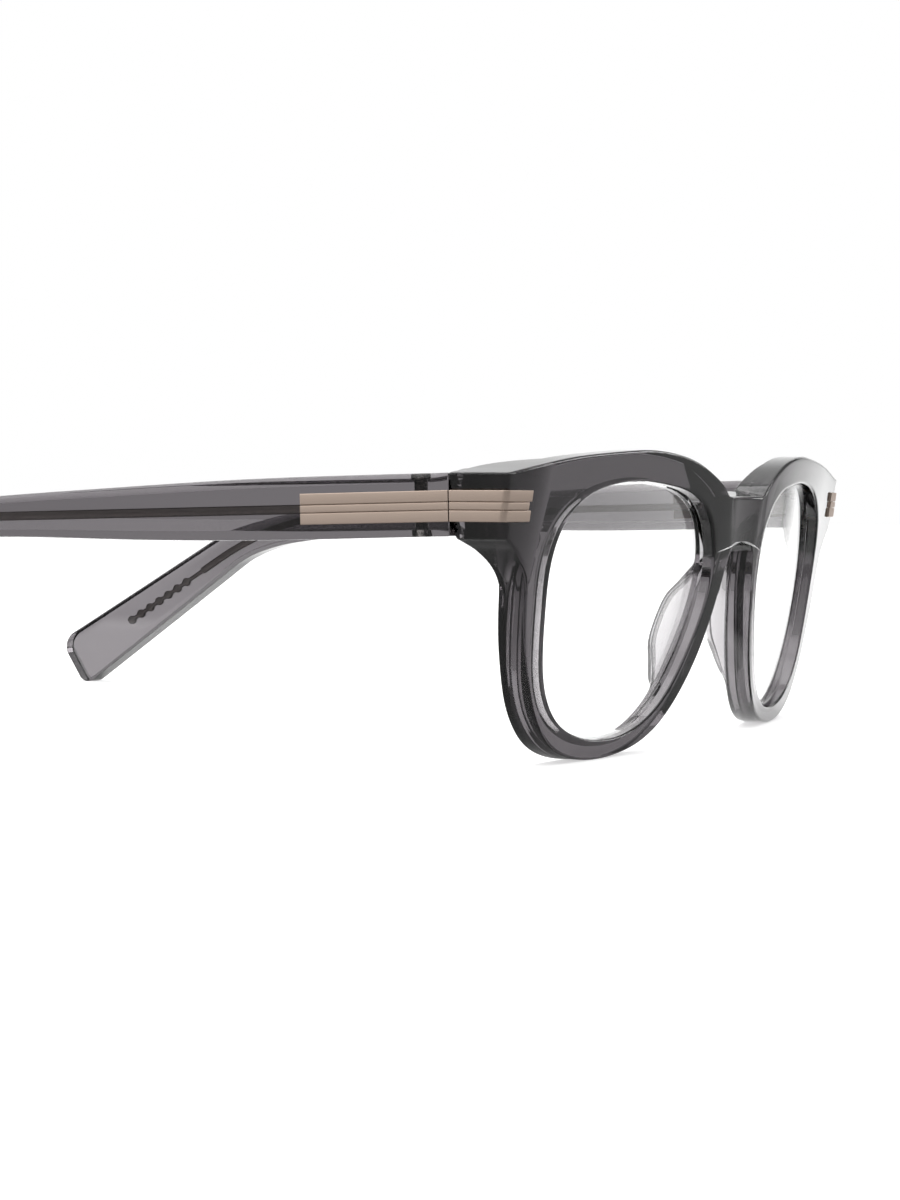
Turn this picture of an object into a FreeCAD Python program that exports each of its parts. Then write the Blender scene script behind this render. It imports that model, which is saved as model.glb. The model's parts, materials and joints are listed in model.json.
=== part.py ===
# Round acetate glasses: a clear grey front, two folding temples, inlaid metal trims and pin hinges.
# Millimetres. The glasses stand on their rims and temple tips, as on a table.
# X runs across the face, Y runs back along the temples, Z is up. The wearer's left is at +X.
import FreeCAD
import Part
import math
import os

Vector = FreeCAD.Vector
Rotation = FreeCAD.Rotation
Placement = FreeCAD.Placement

# Lens openings and the rims round them
opening_width = 44.3
opening_height = 35.4
bridge_gap = 19.9
rim_top = 4.3
rim_bottom = 2.65
rim_nose = 2.6
rim_temple = 4.9
rim_thickness = 4.0

# Shape of the front as it is seen from above: two nearly flat rims that meet over the nose
nose_curve_radius = 82.0
nose_curve_half = 9.5
face_radius = 1170.0
lean_angle = 7.97

# Bridge
bridge_height = 6.7
bridge_top_height = 36.0
bridge_flat_half = 6.9
facet_radius = 21.6
facet_depth_top = 1.36
facet_depth_foot = 0.77

# End pieces
end_reach = 13.15
split_back = 14.35
hinge_height = 34.7
end_height = 8.5
end_thickness = 4.3
end_inner_bend = 1.1
end_bend_share = 0.3
shoulder_depth = 3.3
shoulder_reach = 5.2
underarm_drop = 9.0
underarm_back = 3.1
underarm_sag = 0.55
split_gap = 0.16
corner_forward = 8.25

# Lenses
lens_thickness = 1.5
lens_bite = 0.7
lens_set_back = 0.45
lens_front_radius = 180.0
lens_clearance = 0.04

# Nose pads
pad_height = 4.1
pad_top_height = 28.6
pad_foot_height = 4.6
pad_flare = 1.5
pad_lens_gap = 0.5
pad_nose_inset = 0.25
pad_sunk = 1.0

# Temples
temple_reach = 146.3
temple_thickness = 4.0
temple_top = 4.25
temple_bottom = 3.9
temple_bow_radius = 1130.0
tip_toe_radius = 2.4
tip_heel_radius = 2.6
splay_angle = 3.37
slope_angle = 1.54
temple_edge_break = 0.35

# Core wire that stiffens each temple
wire_height = 1.25
wire_width = 1.1
wire_depth = 2.05
wire_start = 8.2
wire_bend_radius = 55.0
wire_tail = 4.1
bead_count = 7
bead_pitch = 2.3
bead_radius = 0.8
bead_sides = 8
neck_height = 0.7

# Metal trims: three bars on a base plate, let into the acetate
trim_height = 4.06
trim_bar_height = 1.47
trim_groove = 0.07
trim_proud = 0.35
trim_inlay = 0.6
trim_bar_rise = 0.4
temple_trim_length = 21.0
front_trim_fold = 6.3
centre_bar_short = 0.5
trim_pin_width = 0.8
trim_pin_depth = 2.6
pin_root_gap = 0.005
temple_pin_shares = (0.5, 0.86)
temple_pin_offset = 1.34
fit_clearance = 0.02

# Hinges
pin_back = 4.5
pin_inset = 2.4
screw_radius = 0.92
screw_head_radius = 1.35
screw_head_height = 0.7
screw_sink = 0.12
driver_slot_width = 0.3
driver_slot_depth = 0.25
nut_height = 0.8
knuckle_radius = 1.45
tongue_height = 3.2
tongue_thickness = 1.6
leaf_length = 5.0
leaf_pin_shares = (0.32, 0.78)
leaf_pin_offset = 0.8
washer_thickness = 0.3
washer_radius = 1.35
running_clearance = 0.03
slot_clearance = 0.13

# One overrun serves every cut
overrun = 5.0

# Outlines as shares of the half sizes that they follow, from the rim's centre
opening_shares = [(0.04, 1.0), (0.46, 0.96), (0.70, 0.873), (0.903, 0.683), (0.998, 0.381),
                  (0.993, 0.065), (0.962, -0.24), (0.885, -0.552), (0.727, -0.788), (0.497, -0.929),
                  (0.10, -1.0), (-0.176, -0.965), (-0.384, -0.873), (-0.564, -0.726),
                  (-0.718, -0.517), (-0.844, -0.274), (-0.957, 0.02), (-0.998, 0.364),
                  (-0.894, 0.686), (-0.655, 0.884), (-0.32, 0.967)]
brow_nose_shares = [(-0.945, 0.757), (-0.844, 0.818), (-0.739, 0.864), (-0.594, 0.918),
                    (-0.291, 0.98), (0.0, 1.0)]
brow_end_shares = [(0.227, 0.986), (0.578, 0.943)]
underarm_shares = [(0.80, 0.0), (0.665, 0.07), (0.52, 0.16), (0.38, 0.28), (0.21, 0.455), (0.10, 0.66)]
rim_side_shares = [(1.003, 0.09), (0.982, -0.05), (0.95, -0.209), (0.906, -0.371), (0.843, -0.553),
                   (0.75, -0.72), (0.621, -0.86), (0.433, -0.957), (0.181, -1.0)]
rim_nose_shares = [(-0.081, -0.981), (-0.295, -0.926), (-0.501, -0.811), (-0.695, -0.612),
                   (-0.848, -0.371), (-0.933, -0.179), (-0.998, 0.011), (-1.05, 0.193), (-1.083, 0.30)]

# Temple outline: share of the reach, share of the height at the hinge, share of the drop to the table
temple_top_shares = [(0.205, 0.965, 0.0), (0.342, 0.82, 0.0), (0.444, 0.69, 0.0), (0.547, 0.5, 0.0),
                     (0.636, 0.2, 0.0), (0.711, 0.0, 0.042), (0.775, 0.0, 0.15)]
toe_shares = (0.984, 0.0, 0.797)
heel_reach_share = 0.9593
temple_foot_shares = [(0.738, 0.0, 0.292), (0.695, 0.0, 0.202), (0.666, 0.0, 0.171), (0.636, 0.0, 0.153),
                      (0.547, 0.82, 0.0), (0.444, 0.745, 0.0), (0.342, 0.885, 0.0), (0.205, 1.01, 0.0)]
wire_bend_share = 0.677
wire_end_shares = (0.91, 0.653)

# Nose pad sections: share of the way down, share of the full height, share of the full flare
pad_shares = [(0.0, 0.12, 0.0), (0.10, 0.42, 0.25), (0.22, 0.78, 0.6), (0.38, 0.98, 1.0), (0.55, 1.0, 1.0),
              (0.72, 0.84, 0.85), (0.87, 0.5, 0.5), (1.0, 0.12, 0.0)]

# Half of a pad's D, from its base round to its crown: share of the half width, share of the height
pad_section_shares = [(1.0, 0.0), (0.95, 0.42), (0.8, 0.74), (0.48, 0.95)]

# Places that follow from the sizes
rim_centre = (bridge_gap + opening_width) / 2
rim_middle = rim_bottom + opening_height / 2
half_width = rim_centre + opening_width / 2 + end_reach
half_nose = opening_width / 2 + rim_nose
half_temple = opening_width / 2 + rim_temple
half_top = opening_height / 2 + rim_top
half_bottom = opening_height / 2 + rim_bottom
splay = math.radians(splay_angle)
slope = math.radians(slope_angle)
lean = math.radians(lean_angle)
corner_x = half_width - corner_forward * math.tan(splay)
outline_reach = half_width + overrun
end_top = hinge_height + end_height / 2
end_foot = hinge_height - end_height / 2
bridge_foot_height = bridge_top_height - bridge_height
tip_drop = (hinge_height - heel_reach_share * temple_reach * math.sin(slope)) / math.cos(slope)
heel_centre = Vector(0, heel_reach_share * temple_reach, tip_heel_radius / math.cos(slope) - tip_drop)
slot_height = tongue_height + 2 * washer_thickness + 4 * fit_clearance
side_placement = Placement(Vector(half_width, split_back, hinge_height),
                           Rotation(Vector(0, 0, 1), -splay_angle) * Rotation(Vector(1, 0, 0), -slope_angle))
front_placement = Placement(Vector(0, 0, rim_middle), Rotation(Vector(1, 0, 0), lean_angle))


def spline(points, start=None, end=None):
    """One smooth edge through the points, with the end directions where they are given."""
    curve = Part.BSplineCurve()
    if start is None:
        curve.interpolate(points)
    else:
        first = Vector(start).normalize()
        last = Vector(end).normalize()
        curve.interpolate(Points=points, InitialTangent=first, FinalTangent=last, Scale=False)
    return curve.toShape()


def closed_face(points):
    """Flat face inside one smooth closed curve."""
    curve = Part.BSplineCurve()
    curve.interpolate(Points=points, PeriodicFlag=True)
    return Part.Face(Part.Wire(curve.toShape()))


def face_of(edges):
    return Part.Face(Part.Wire(Part.__sortEdges__(edges)))


def line(a, b):
    return Part.LineSegment(a, b).toShape()


def polygon_face(points):
    return Part.Face(Part.makePolygon(points + points[:1]))


def mirrored(shape):
    return shape.mirror(Vector(0, 0, 0), Vector(1, 0, 0))


def fuse_all(shapes):
    return shapes[0].multiFuse(shapes[1:]).removeSplitter()


def on_side(shape):
    """Puts a shape from the temple's own frame (X out, Y back, Z up, zero at the split) in place."""
    placed = shape.copy()
    placed.Placement = side_placement.multiply(placed.Placement)
    return placed


def on_front(shape):
    """Puts a shape from the front's own upright frame in place, leaning forward."""
    placed = shape.copy()
    placed.Placement = front_placement.multiply(placed.Placement)
    return placed


def side_block(x_range, y_range, z_range):
    """Box in the temple's frame."""
    box = Part.makeBox(x_range[1] - x_range[0], y_range[1] - y_range[0], z_range[1] - z_range[0],
                       Vector(x_range[0], y_range[0], z_range[0]))
    return box


# Outlines seen from the front
def seen_from_front(x, z):
    return Vector(x, 0, z)


def opening_face(grow):
    points = [seen_from_front(rim_centre + share_x * (opening_width / 2 + grow),
                              rim_middle + share_z * (opening_height / 2 + grow))
              for share_x, share_z in opening_shares]
    return closed_face(points)


def half_outline():
    """Edges of the front's outline for X above zero, from the bridge's end round to its middle."""
    brow = [seen_from_front(bridge_flat_half, bridge_top_height)]
    for share_x, share_z in brow_nose_shares:
        brow.append(seen_from_front(rim_centre + share_x * half_nose, rim_middle + share_z * half_top))
    for share_x, share_z in brow_end_shares:
        brow.append(seen_from_front(rim_centre + share_x * (corner_x - rim_centre),
                                    rim_middle + share_z * half_top))
    brow.append(seen_from_front(corner_x, end_top))
    underarm = corner_x - rim_centre - half_temple
    lower = []
    for share_x, share_z in underarm_shares:
        lower.append(seen_from_front(corner_x - underarm * (1 - share_x), end_foot - underarm * share_z))
    for share_x, share_z in rim_side_shares:
        height = half_top if share_z > 0 else half_bottom
        lower.append(seen_from_front(rim_centre + share_x * half_temple, rim_middle + share_z * height))
    for share_x, share_z in rim_nose_shares:
        height = half_top if share_z > 0 else half_bottom
        lower.append(seen_from_front(rim_centre + share_x * half_nose, rim_middle + share_z * height))
    # The arch under the bridge is an arc that leaves the nose side and ends level
    nose_side = lower[-1]
    rising = (nose_side - lower[-2]).normalize()
    radius = (bridge_foot_height - nose_side.z) / (1 + rising.x)
    centre = nose_side + Vector(-rising.z, 0, rising.x) * radius
    arch_end = centre + Vector(0, 0, radius)
    arch_middle = centre + (nose_side + arch_end - centre * 2).normalize() * radius
    return [spline(brow, Vector(1, 0, 0), brow[-1] - brow[-2]),
            line(brow[-1], seen_from_front(outline_reach, end_top)),
            line(seen_from_front(outline_reach, end_top), seen_from_front(outline_reach, end_foot)),
            line(seen_from_front(outline_reach, end_foot), lower[0]),
            spline(lower, Vector(-1, 0, 0), rising),
            Part.Arc(nose_side, arch_middle, arch_end).toShape(),
            line(arch_end, seen_from_front(0, bridge_foot_height))]


def outline_prism():
    edges = half_outline()
    edges += [mirrored(edge) for edge in edges]
    edges.append(line(seen_from_front(-bridge_flat_half, bridge_top_height),
                      seen_from_front(bridge_flat_half, bridge_top_height)))
    face = face_of(edges)
    depth = split_back + 2 * overrun
    prism = face.extrude(Vector(0, depth, 0))
    prism.translate(Vector(0, -overrun, 0))
    return prism


# Front and back surfaces, seen from above
def front_curve(offset):
    """Edges of the front surface in its own frame, moved forward by the offset; from -X to +X."""
    turn = math.asin(nose_curve_half / nose_curve_radius)
    nose_centre = Vector(0, nose_curve_radius, 0)
    joint_in = Vector(nose_curve_half, nose_curve_radius * (1 - math.cos(turn)), 0)
    face_centre = joint_in + Vector(-math.sin(turn), math.cos(turn), 0) * face_radius
    far = math.asin((outline_reach + overrun - face_centre.x) / face_radius)

    def on_nose(angle):
        return nose_centre + Vector(math.sin(angle), -math.cos(angle), 0) * (nose_curve_radius + offset)

    def on_face(angle):
        return face_centre + Vector(math.sin(angle), -math.cos(angle), 0) * (face_radius + offset)

    right_arc = Part.Arc(on_face(turn), on_face((turn + far) / 2), on_face(far)).toShape()
    middle_arc = Part.Arc(on_nose(-turn), on_nose(0), on_nose(turn)).toShape()
    return [mirrored(right_arc), middle_arc, right_arc], on_face(far)


def behind_front(offset):
    """Everything behind the front surface, which is moved forward by the offset."""
    edges, end = front_curve(offset)
    back = split_back + 4 * overrun
    left_back, right_back = Vector(end.x, back, 0), Vector(-end.x, back, 0)
    edges += [line(end, left_back), line(left_back, right_back), line(right_back, Vector(-end.x, end.y, 0))]
    height = opening_height + rim_top + rim_bottom + 4 * overrun
    solid = face_of(edges).extrude(Vector(0, 0, height))
    solid.translate(Vector(0, 0, -height / 2))
    return on_front(solid)


def inside_side(offset):
    """Everything between the two outer side planes, which are moved outwards by the offset."""
    plane = side_block((-2 * half_width, offset), (-half_width, half_width), (-half_width, half_width))
    placed = on_side(plane)
    return placed.common(mirrored(placed))


def hull(offset):
    return behind_front(offset).common(inside_side(offset))


def end_block():
    """The left end piece behind the rim: its plan, cut by the curve that sweeps down under it."""
    split = -split_gap / 2
    inner = -end_thickness
    bend_start = Vector(inner, split - end_inner_bend, 0)
    bend_end = Vector(inner - shoulder_reach, split - shoulder_depth - pin_back, 0)
    bend_middle = Vector(inner - shoulder_reach * end_bend_share,
                         split - shoulder_depth - pin_back * end_bend_share, 0)
    edges = [Part.Arc(bend_start, bend_middle, bend_end).toShape(),
             line(bend_end, Vector(bend_end.x, -split_back, 0)),
             line(Vector(bend_end.x, -split_back, 0), Vector(overrun, -split_back, 0)),
             line(Vector(overrun, -split_back, 0), Vector(overrun, split, 0)),
             line(Vector(overrun, split, 0), Vector(inner, split, 0)),
             line(Vector(inner, split, 0), bend_start)]
    plan = face_of(edges).extrude(Vector(0, 0, 4 * end_height))
    plan.translate(Vector(0, 0, -2 * end_height))
    top = Vector(0, split_back + overrun, end_foot)
    start = Vector(0, split_back, end_foot)
    foot = Vector(0, split_back - underarm_back, end_foot - underarm_drop)
    middle = (start + foot) / 2 + Vector(0, underarm_sag, -underarm_sag) / math.sqrt(2)
    front = Vector(0, -overrun, foot.z)
    edges = [Part.Arc(start, middle, foot).toShape(), line(foot, front),
             line(front, Vector(0, -overrun, end_top + overrun)),
             line(Vector(0, -overrun, end_top + overrun), Vector(0, top.y, end_top + overrun)),
             line(Vector(0, top.y, end_top + overrun), top), line(top, start)]
    side = face_of(edges).extrude(Vector(outline_reach + overrun, 0, 0))
    return on_side(plan).common(side)


def bridge_facet():
    """Cylinder that hollows the bridge's front face, deeper at the top than at the foot."""
    tilt = math.atan((facet_depth_top - facet_depth_foot) / bridge_height)
    length = bridge_height + 4 * overrun
    foot_local = (bridge_foot_height - rim_middle) / math.cos(lean)
    centre = Vector(0, facet_depth_foot - facet_radius, foot_local)
    cylinder = Part.makeCylinder(facet_radius, length, Vector(0, 0, -length / 2), Vector(0, 0, 1))
    cylinder.Placement = Placement(centre, Rotation(Vector(1, 0, 0), -math.degrees(tilt)))
    return on_front(cylinder)


# Lenses
def lens_space(grow, clearance):
    """Curved slice of the grown opening: the lens itself, or with clearance the groove it sits in."""
    prism = opening_face(grow).extrude(Vector(0, split_back + 2 * overrun, 0))
    prism.translate(Vector(0, -overrun, 0))
    turn = math.asin(nose_curve_half / nose_curve_radius)
    face_angle = turn + (rim_centre - nose_curve_half) / face_radius
    nose_depth = nose_curve_radius * (1 - math.cos(turn))
    mean_turn = (turn + face_angle) / 2
    face_depth = nose_depth + (rim_centre - nose_curve_half) * math.tan(mean_turn)
    inward = Vector(-math.sin(face_angle), math.cos(face_angle), 0)
    vertex = Vector(rim_centre, face_depth, 0) + inward * lens_set_back
    centre = front_placement.multVec(vertex + inward * lens_front_radius)
    outer = Part.makeSphere(lens_front_radius + clearance, centre)
    inner = Part.makeSphere(lens_front_radius - lens_thickness - clearance, centre)
    return prism.common(outer).cut(inner)


# Trims
def trim_slab(low, high, back, forward):
    """Level slice of the end piece's corner, between two heights of the temple's frame."""
    return on_side(side_block((-overrun - front_trim_fold * 2, overrun), (-forward, back), (low, high)))


def front_trim_limit(short):
    """Keeps the fold's length along the front face."""
    x = corner_x - front_trim_fold + short
    box = Part.makeBox(half_width, split_back + 4 * overrun, 2 * end_height,
                       Vector(x, -2 * overrun, hinge_height - end_height))
    return box


def corner_shell(outer, inner, low, high, short, back):
    """Part of a shell round the end piece's corner, from the split to the end of the fold."""
    shell = hull(outer).cut(hull(inner))
    slab = trim_slab(low, high, back, split_back + overrun)
    return shell.common(slab).common(front_trim_limit(short))


# Temples, in their own frame: X out, Y back, Z up
def temple_point(share, height_share, drop_share, height):
    return Vector(0, share * temple_reach, height_share * height - drop_share * tip_drop)


def tangent_run(start, start_radius, end, end_radius):
    """Straight run that touches two circles of the temple's side view, on its left, and its normal."""
    run = end - start
    share = (start_radius - end_radius) / run.Length
    run.normalize()
    normal = run * share + Vector(0, -run.z, run.y) * math.sqrt(1 - share ** 2)
    return start + normal * start_radius, end + normal * end_radius, normal


def round_corner(centre, radius, first, second):
    """Arc between two runs that touch the same circle, from their normals."""
    middle = (first + second).normalize()
    return Part.Arc(centre + first * radius, centre + middle * radius, centre + second * radius).toShape()


def temple_profile():
    top_start = Vector(0, split_gap / 2, temple_top)
    foot_end = Vector(0, split_gap / 2, -temple_bottom)
    top = [temple_point(a, b, c, temple_top) for a, b, c in temple_top_shares]
    foot = [temple_point(a, -b, c, temple_bottom) for a, b, c in temple_foot_shares]
    toe = temple_point(*toe_shares, temple_top)
    along = Vector(0, 1, 0)
    down_start, down_end, down_out = tangent_run(top[-1], 0, toe, tip_toe_radius)
    end_start, end_end, end_out = tangent_run(toe, tip_toe_radius, heel_centre, tip_heel_radius)
    up_start, up_end, up_out = tangent_run(heel_centre, tip_heel_radius, foot[0], 0)
    edges = [spline([top_start] + top, along, down_end - down_start),
             line(down_start, down_end),
             round_corner(toe, tip_toe_radius, down_out, end_out),
             line(end_start, end_end),
             round_corner(heel_centre, tip_heel_radius, end_out, up_out),
             line(up_start, up_end),
             spline(foot + [foot_end], up_end - up_start, -along),
             line(foot_end, top_start)]
    return face_of(edges)


def bow_depth(along):
    """How far the bowed outer face has come in from the flat one, this far back from the split."""
    return temple_bow_radius - math.sqrt(temple_bow_radius ** 2 - along ** 2)


def bow_band(outer, inner, start, end):
    """Slab that follows the temple's bow, between two depths under its outer face."""
    centre = Vector(-temple_bow_radius, 0, 0)

    def on_bow(depth, along):
        angle = along / temple_bow_radius
        radius = temple_bow_radius - depth
        return centre + Vector(math.cos(angle), math.sin(angle), 0) * radius

    middle = (start + end) / 2
    edges = [Part.Arc(on_bow(outer, start), on_bow(outer, middle), on_bow(outer, end)).toShape(),
             line(on_bow(outer, end), on_bow(inner, end)),
             Part.Arc(on_bow(inner, end), on_bow(inner, middle), on_bow(inner, start)).toShape(),
             line(on_bow(inner, start), on_bow(outer, start))]
    height = 2 * tip_drop + 4 * temple_top
    band = face_of(edges).extrude(Vector(0, 0, height))
    band.translate(Vector(0, 0, -height / 2))
    return band


def across(face):
    """Extrudes an outline of the temple's side through its whole thickness and bow."""
    width = temple_thickness + temple_reach ** 2 / temple_bow_radius + 2 * overrun
    solid = face.extrude(Vector(width, 0, 0))
    solid.translate(Vector(overrun - width, 0, 0))
    return solid


def wire_path():
    start = Vector(0, wire_start, 0)
    bend = Vector(0, wire_bend_share * temple_reach, 0)
    end = Vector(0, wire_end_shares[0] * temple_reach, -wire_end_shares[1] * tip_drop)
    return start, bend, end


def wire_strip(half):
    """Side view of the core wire up to its beads: two runs joined by an arc."""
    start, bend, end = wire_path()
    ahead = (bend - start).normalize()
    down = (end - bend).normalize()
    turn = math.acos(ahead.dot(down))
    inset = wire_bend_radius * math.tan(turn / 2)
    stop = end - down * (wire_tail + bead_pitch * (bead_count - 1))
    up = Vector(0, -ahead.z, ahead.y)
    out = Vector(0, -down.z, down.y)
    arc_start, arc_end = bend - ahead * inset, bend + down * inset
    centre = arc_start - up * wire_bend_radius
    middle_direction = (up + out).normalize()
    outer_middle = centre + middle_direction * (wire_bend_radius + half)
    inner_middle = centre + middle_direction * (wire_bend_radius - half)
    edges = [line(start + up * half, arc_start + up * half),
             Part.Arc(arc_start + up * half, outer_middle, arc_end + out * half).toShape(),
             line(arc_end + out * half, stop + out * half),
             line(stop + out * half, stop - out * half),
             line(stop - out * half, arc_end - out * half),
             Part.Arc(arc_end - out * half, inner_middle, arc_start - up * half).toShape(),
             line(arc_start - up * half, start - up * half),
             line(start - up * half, start + up * half)]
    return face_of(edges), stop, end, down, out


def bead_corner(turn, down, out):
    """Corner of a bead, which is swaged with flats across and along the wire."""
    angle = (turn + 0.5) * 2 * math.pi / bead_sides
    return (down * math.cos(angle) + out * math.sin(angle)) * bead_radius


def core_wire():
    strip, stop, end, down, out = wire_strip(wire_height / 2)
    neck_half = neck_height / 2
    neck = polygon_face([stop + out * neck_half, end + out * neck_half,
                         end - out * neck_half, stop - out * neck_half])
    solids = [across(strip), across(neck)]
    for index in range(bead_count):
        place = stop + down * (bead_pitch * index)
        solids.append(across(polygon_face([place + bead_corner(turn, down, out) for turn in range(bead_sides)])))
    band = bow_band(wire_depth - wire_width / 2, wire_depth + wire_width / 2, 0, temple_reach)
    return fuse_all([solid.common(band) for solid in solids])


def pin_cylinder(radius, low, high):
    """Upright cylinder on the hinge axis, in the temple's frame."""
    return Part.makeCylinder(radius, high - low, Vector(-pin_inset, pin_back, low), Vector(0, 0, 1))


def trim_pins(places):
    """Square pins that run from the trim's base plate into the acetate, in the temple's frame."""
    def pins(grow):
        solids = []
        half = trim_pin_width / 2 + grow
        for along, up in places:
            foot = -trim_inlay - bow_depth(along + half) - pin_root_gap
            solids.append(side_block((foot - trim_pin_depth - grow, foot), (along - half, along + half),
                                     (up - half, up + half)))
        return Part.makeCompound(solids)
    return pins(0), pins(fit_clearance)


def knuckle_sweep():
    """Room that the tongue needs in the temple while it swings from the end to the inner face."""
    room = tongue_thickness / 2 + slot_clearance
    half = slot_height / 2
    inner = -temple_thickness - overrun
    reach = knuckle_radius + slot_clearance
    ahead = side_block((inner, -pin_inset + room), (-overrun, pin_back), (-half, half))
    inward = side_block((inner, -pin_inset), (pin_back - reach, pin_back + reach), (-half, half))
    return fuse_all([ahead, inward, pin_cylinder(reach, -half, half)])


def hinge_leaf():
    """Leaf let into the end piece, its tongue and the knuckle round the screw."""
    half = tongue_height / 2
    plate = side_block((-pin_inset - tongue_thickness / 2, -pin_inset + tongue_thickness / 2),
                       (-leaf_length, pin_back), (-half, half))
    bore = pin_cylinder(screw_radius + running_clearance, -half - overrun, half + overrun)
    return fuse_all([plate, pin_cylinder(knuckle_radius, -half, half)]).cut(bore)


def hinge_screw():
    top = temple_top - screw_sink
    shaft = pin_cylinder(screw_radius, -temple_bottom + screw_sink, top)
    head = pin_cylinder(screw_head_radius, top - screw_head_height, top)
    slot = side_block((-pin_inset - driver_slot_width / 2, -pin_inset + driver_slot_width / 2),
                      (pin_back - overrun, pin_back + overrun), (top - driver_slot_depth, top + overrun))
    return shaft.fuse(head).removeSplitter().cut(slot)


def hinge_nut():
    foot = -temple_bottom + screw_sink
    ring = pin_cylinder(screw_head_radius, foot, foot + nut_height)
    return ring.cut(pin_cylinder(screw_radius, foot - overrun, foot + overrun))


def hinge_washers():
    solids = []
    gap = fit_clearance
    for sign in (-1, 1):
        near = tongue_height / 2 + gap
        far = near + washer_thickness
        low, high = sorted((sign * near, sign * far))
        washer = pin_cylinder(washer_radius, low, high)
        solids.append(washer.cut(pin_cylinder(screw_radius + fit_clearance / 2, low - overrun, high + overrun)))
    return Part.makeCompound(solids)


def temple_body(wire, pin_holes):
    raw = across(temple_profile()).common(bow_band(0, temple_thickness, -overrun, temple_reach + overrun))
    raw = raw.makeChamfer(temple_edge_break, long_edges(raw, 2 * temple_thickness))
    # The inner half of the front end is round about the hinge, so that it clears the end piece
    swing = pin_back - split_gap / 2
    corner = side_block((-temple_thickness - overrun, -pin_inset), (-overrun, pin_back), (-end_height, end_height))
    corner = corner.cut(pin_cylinder(swing, -end_height, end_height))
    recess = side_block((-overrun, overrun), (-overrun, temple_trim_length + fit_clearance),
                        (-trim_height / 2 - fit_clearance, trim_height / 2 + fit_clearance))
    recess = recess.common(bow_band(-overrun, trim_inlay + fit_clearance, -overrun, temple_reach))
    shaft = pin_cylinder(screw_radius + fit_clearance, -end_height, end_height)
    top = temple_top - screw_sink
    foot = -temple_bottom + screw_sink
    head = pin_cylinder(screw_head_radius + fit_clearance, top - screw_head_height, end_height)
    nut = pin_cylinder(screw_head_radius + fit_clearance, -end_height, foot + nut_height)
    for tool in (corner, recess, shaft, head, nut, knuckle_sweep(), pin_holes, wire):
        raw = raw.cut(tool)
    return raw


def temple_trim(centre_only):
    """Base plate with an upper and a lower bar, or the bar that lies between them."""
    half = trim_height / 2
    channel = half - trim_bar_height
    start, end = split_gap / 2, temple_trim_length
    rise = bow_band(-trim_proud, -trim_proud + trim_bar_rise, start, end)
    if centre_only:
        return side_block((-overrun, overrun), (start, end), (-channel + trim_groove, channel - trim_groove)).common(rise)
    plate = side_block((-overrun, overrun), (start, end), (-half, half))
    plate = plate.common(bow_band(-trim_proud, trim_inlay, start, end))
    return plate.cut(side_block((-overrun, overrun), (start - overrun, end + overrun), (-channel, channel)).common(
        bow_band(-trim_proud - overrun, -trim_proud + trim_bar_rise, start - overrun, end + overrun)))


def front_trim(centre_only):
    half = trim_height / 2
    channel = half - trim_bar_height
    back = -split_gap / 2
    floor = trim_proud - trim_bar_rise
    if centre_only:
        return corner_shell(trim_proud, floor, -channel + trim_groove, channel - trim_groove,
                            centre_bar_short, back)
    plate = corner_shell(trim_proud, -trim_inlay, -half, half, 0, back)
    return plate.cut(corner_shell(trim_proud + overrun, floor, -channel, channel, -overrun, overrun))


# Nose pads
def rim_back(x, z):
    """Point on the rim's back surface of the left half, at this X and height."""
    turn = math.asin(nose_curve_half / nose_curve_radius)
    nose_depth = nose_curve_radius * (1 - math.cos(turn))
    over = max(x - nose_curve_half, 0)
    near = min(x, nose_curve_half)
    depth = near ** 2 / (2 * nose_curve_radius) + over * math.tan(turn) + over ** 2 / (2 * face_radius)
    local_height = (z - rim_middle - (depth + rim_thickness) * math.sin(lean)) / math.cos(lean)
    return (depth + rim_thickness) * math.cos(lean) - local_height * math.sin(lean)


def x_at(shares, half_sizes, height):
    """X of an outline's nose side at this height, between its two nearest points."""
    points = []
    for share_x, share_z in shares:
        size = half_sizes[1] if share_z > 0 else half_sizes[2]
        points.append((rim_middle + share_z * size, rim_centre + share_x * half_sizes[0]))
    points.sort()
    for (low, x_low), (high, x_high) in zip(points, points[1:]):
        if low <= height <= high:
            return x_low + (x_high - x_low) * (height - low) / (high - low)
    return points[-1][1] if height > points[-1][0] else points[0][1]


def nose_pad():
    """Ruled loft of D sections down the rim's nose side, cut off where it meets the rim."""
    wires = []
    nose_side = [share for share in rim_nose_shares if share[0] < -rim_nose / half_nose]
    lens_side = [share for share in opening_shares if share[0] < -lens_bite / opening_width and share[1] < 0.7]
    half = (half_nose, half_top, half_bottom)
    half_open = (opening_width / 2, opening_height / 2, opening_height / 2)
    for down, height_share, flare_share in pad_shares:
        z = pad_top_height + (pad_foot_height - pad_top_height) * down
        x_nose = x_at(nose_side, half, z) + pad_nose_inset
        x_lens = x_at(lens_side, half_open, z) - pad_lens_gap
        back = (rim_back(x_nose, z) + rim_back(x_lens, z)) / 2
        rise = pad_height * height_share
        flare = pad_flare * flare_share
        middle = (x_nose + x_lens) / 2
        half_width_here = (x_lens - x_nose) / 2
        base = [Vector(x_lens, back - pad_sunk, z), Vector(x_nose, back - pad_sunk, z)]
        rising = [Vector(middle - across_share * half_width_here + flare * up_share, back + rise * up_share, z)
                  for across_share, up_share in pad_section_shares]
        falling = [Vector(middle + across_share * half_width_here + flare * up_share, back + rise * up_share, z)
                   for across_share, up_share in reversed(pad_section_shares)]
        corners = base + rising + [Vector(middle + flare, back + rise, z)] + falling
        wires.append(Part.makePolygon(corners + corners[:1]))
    return Part.makeLoft(wires, True, True)


def long_edges(shape, least):
    return [edge for edge in shape.Edges if edge.Length > least]


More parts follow.
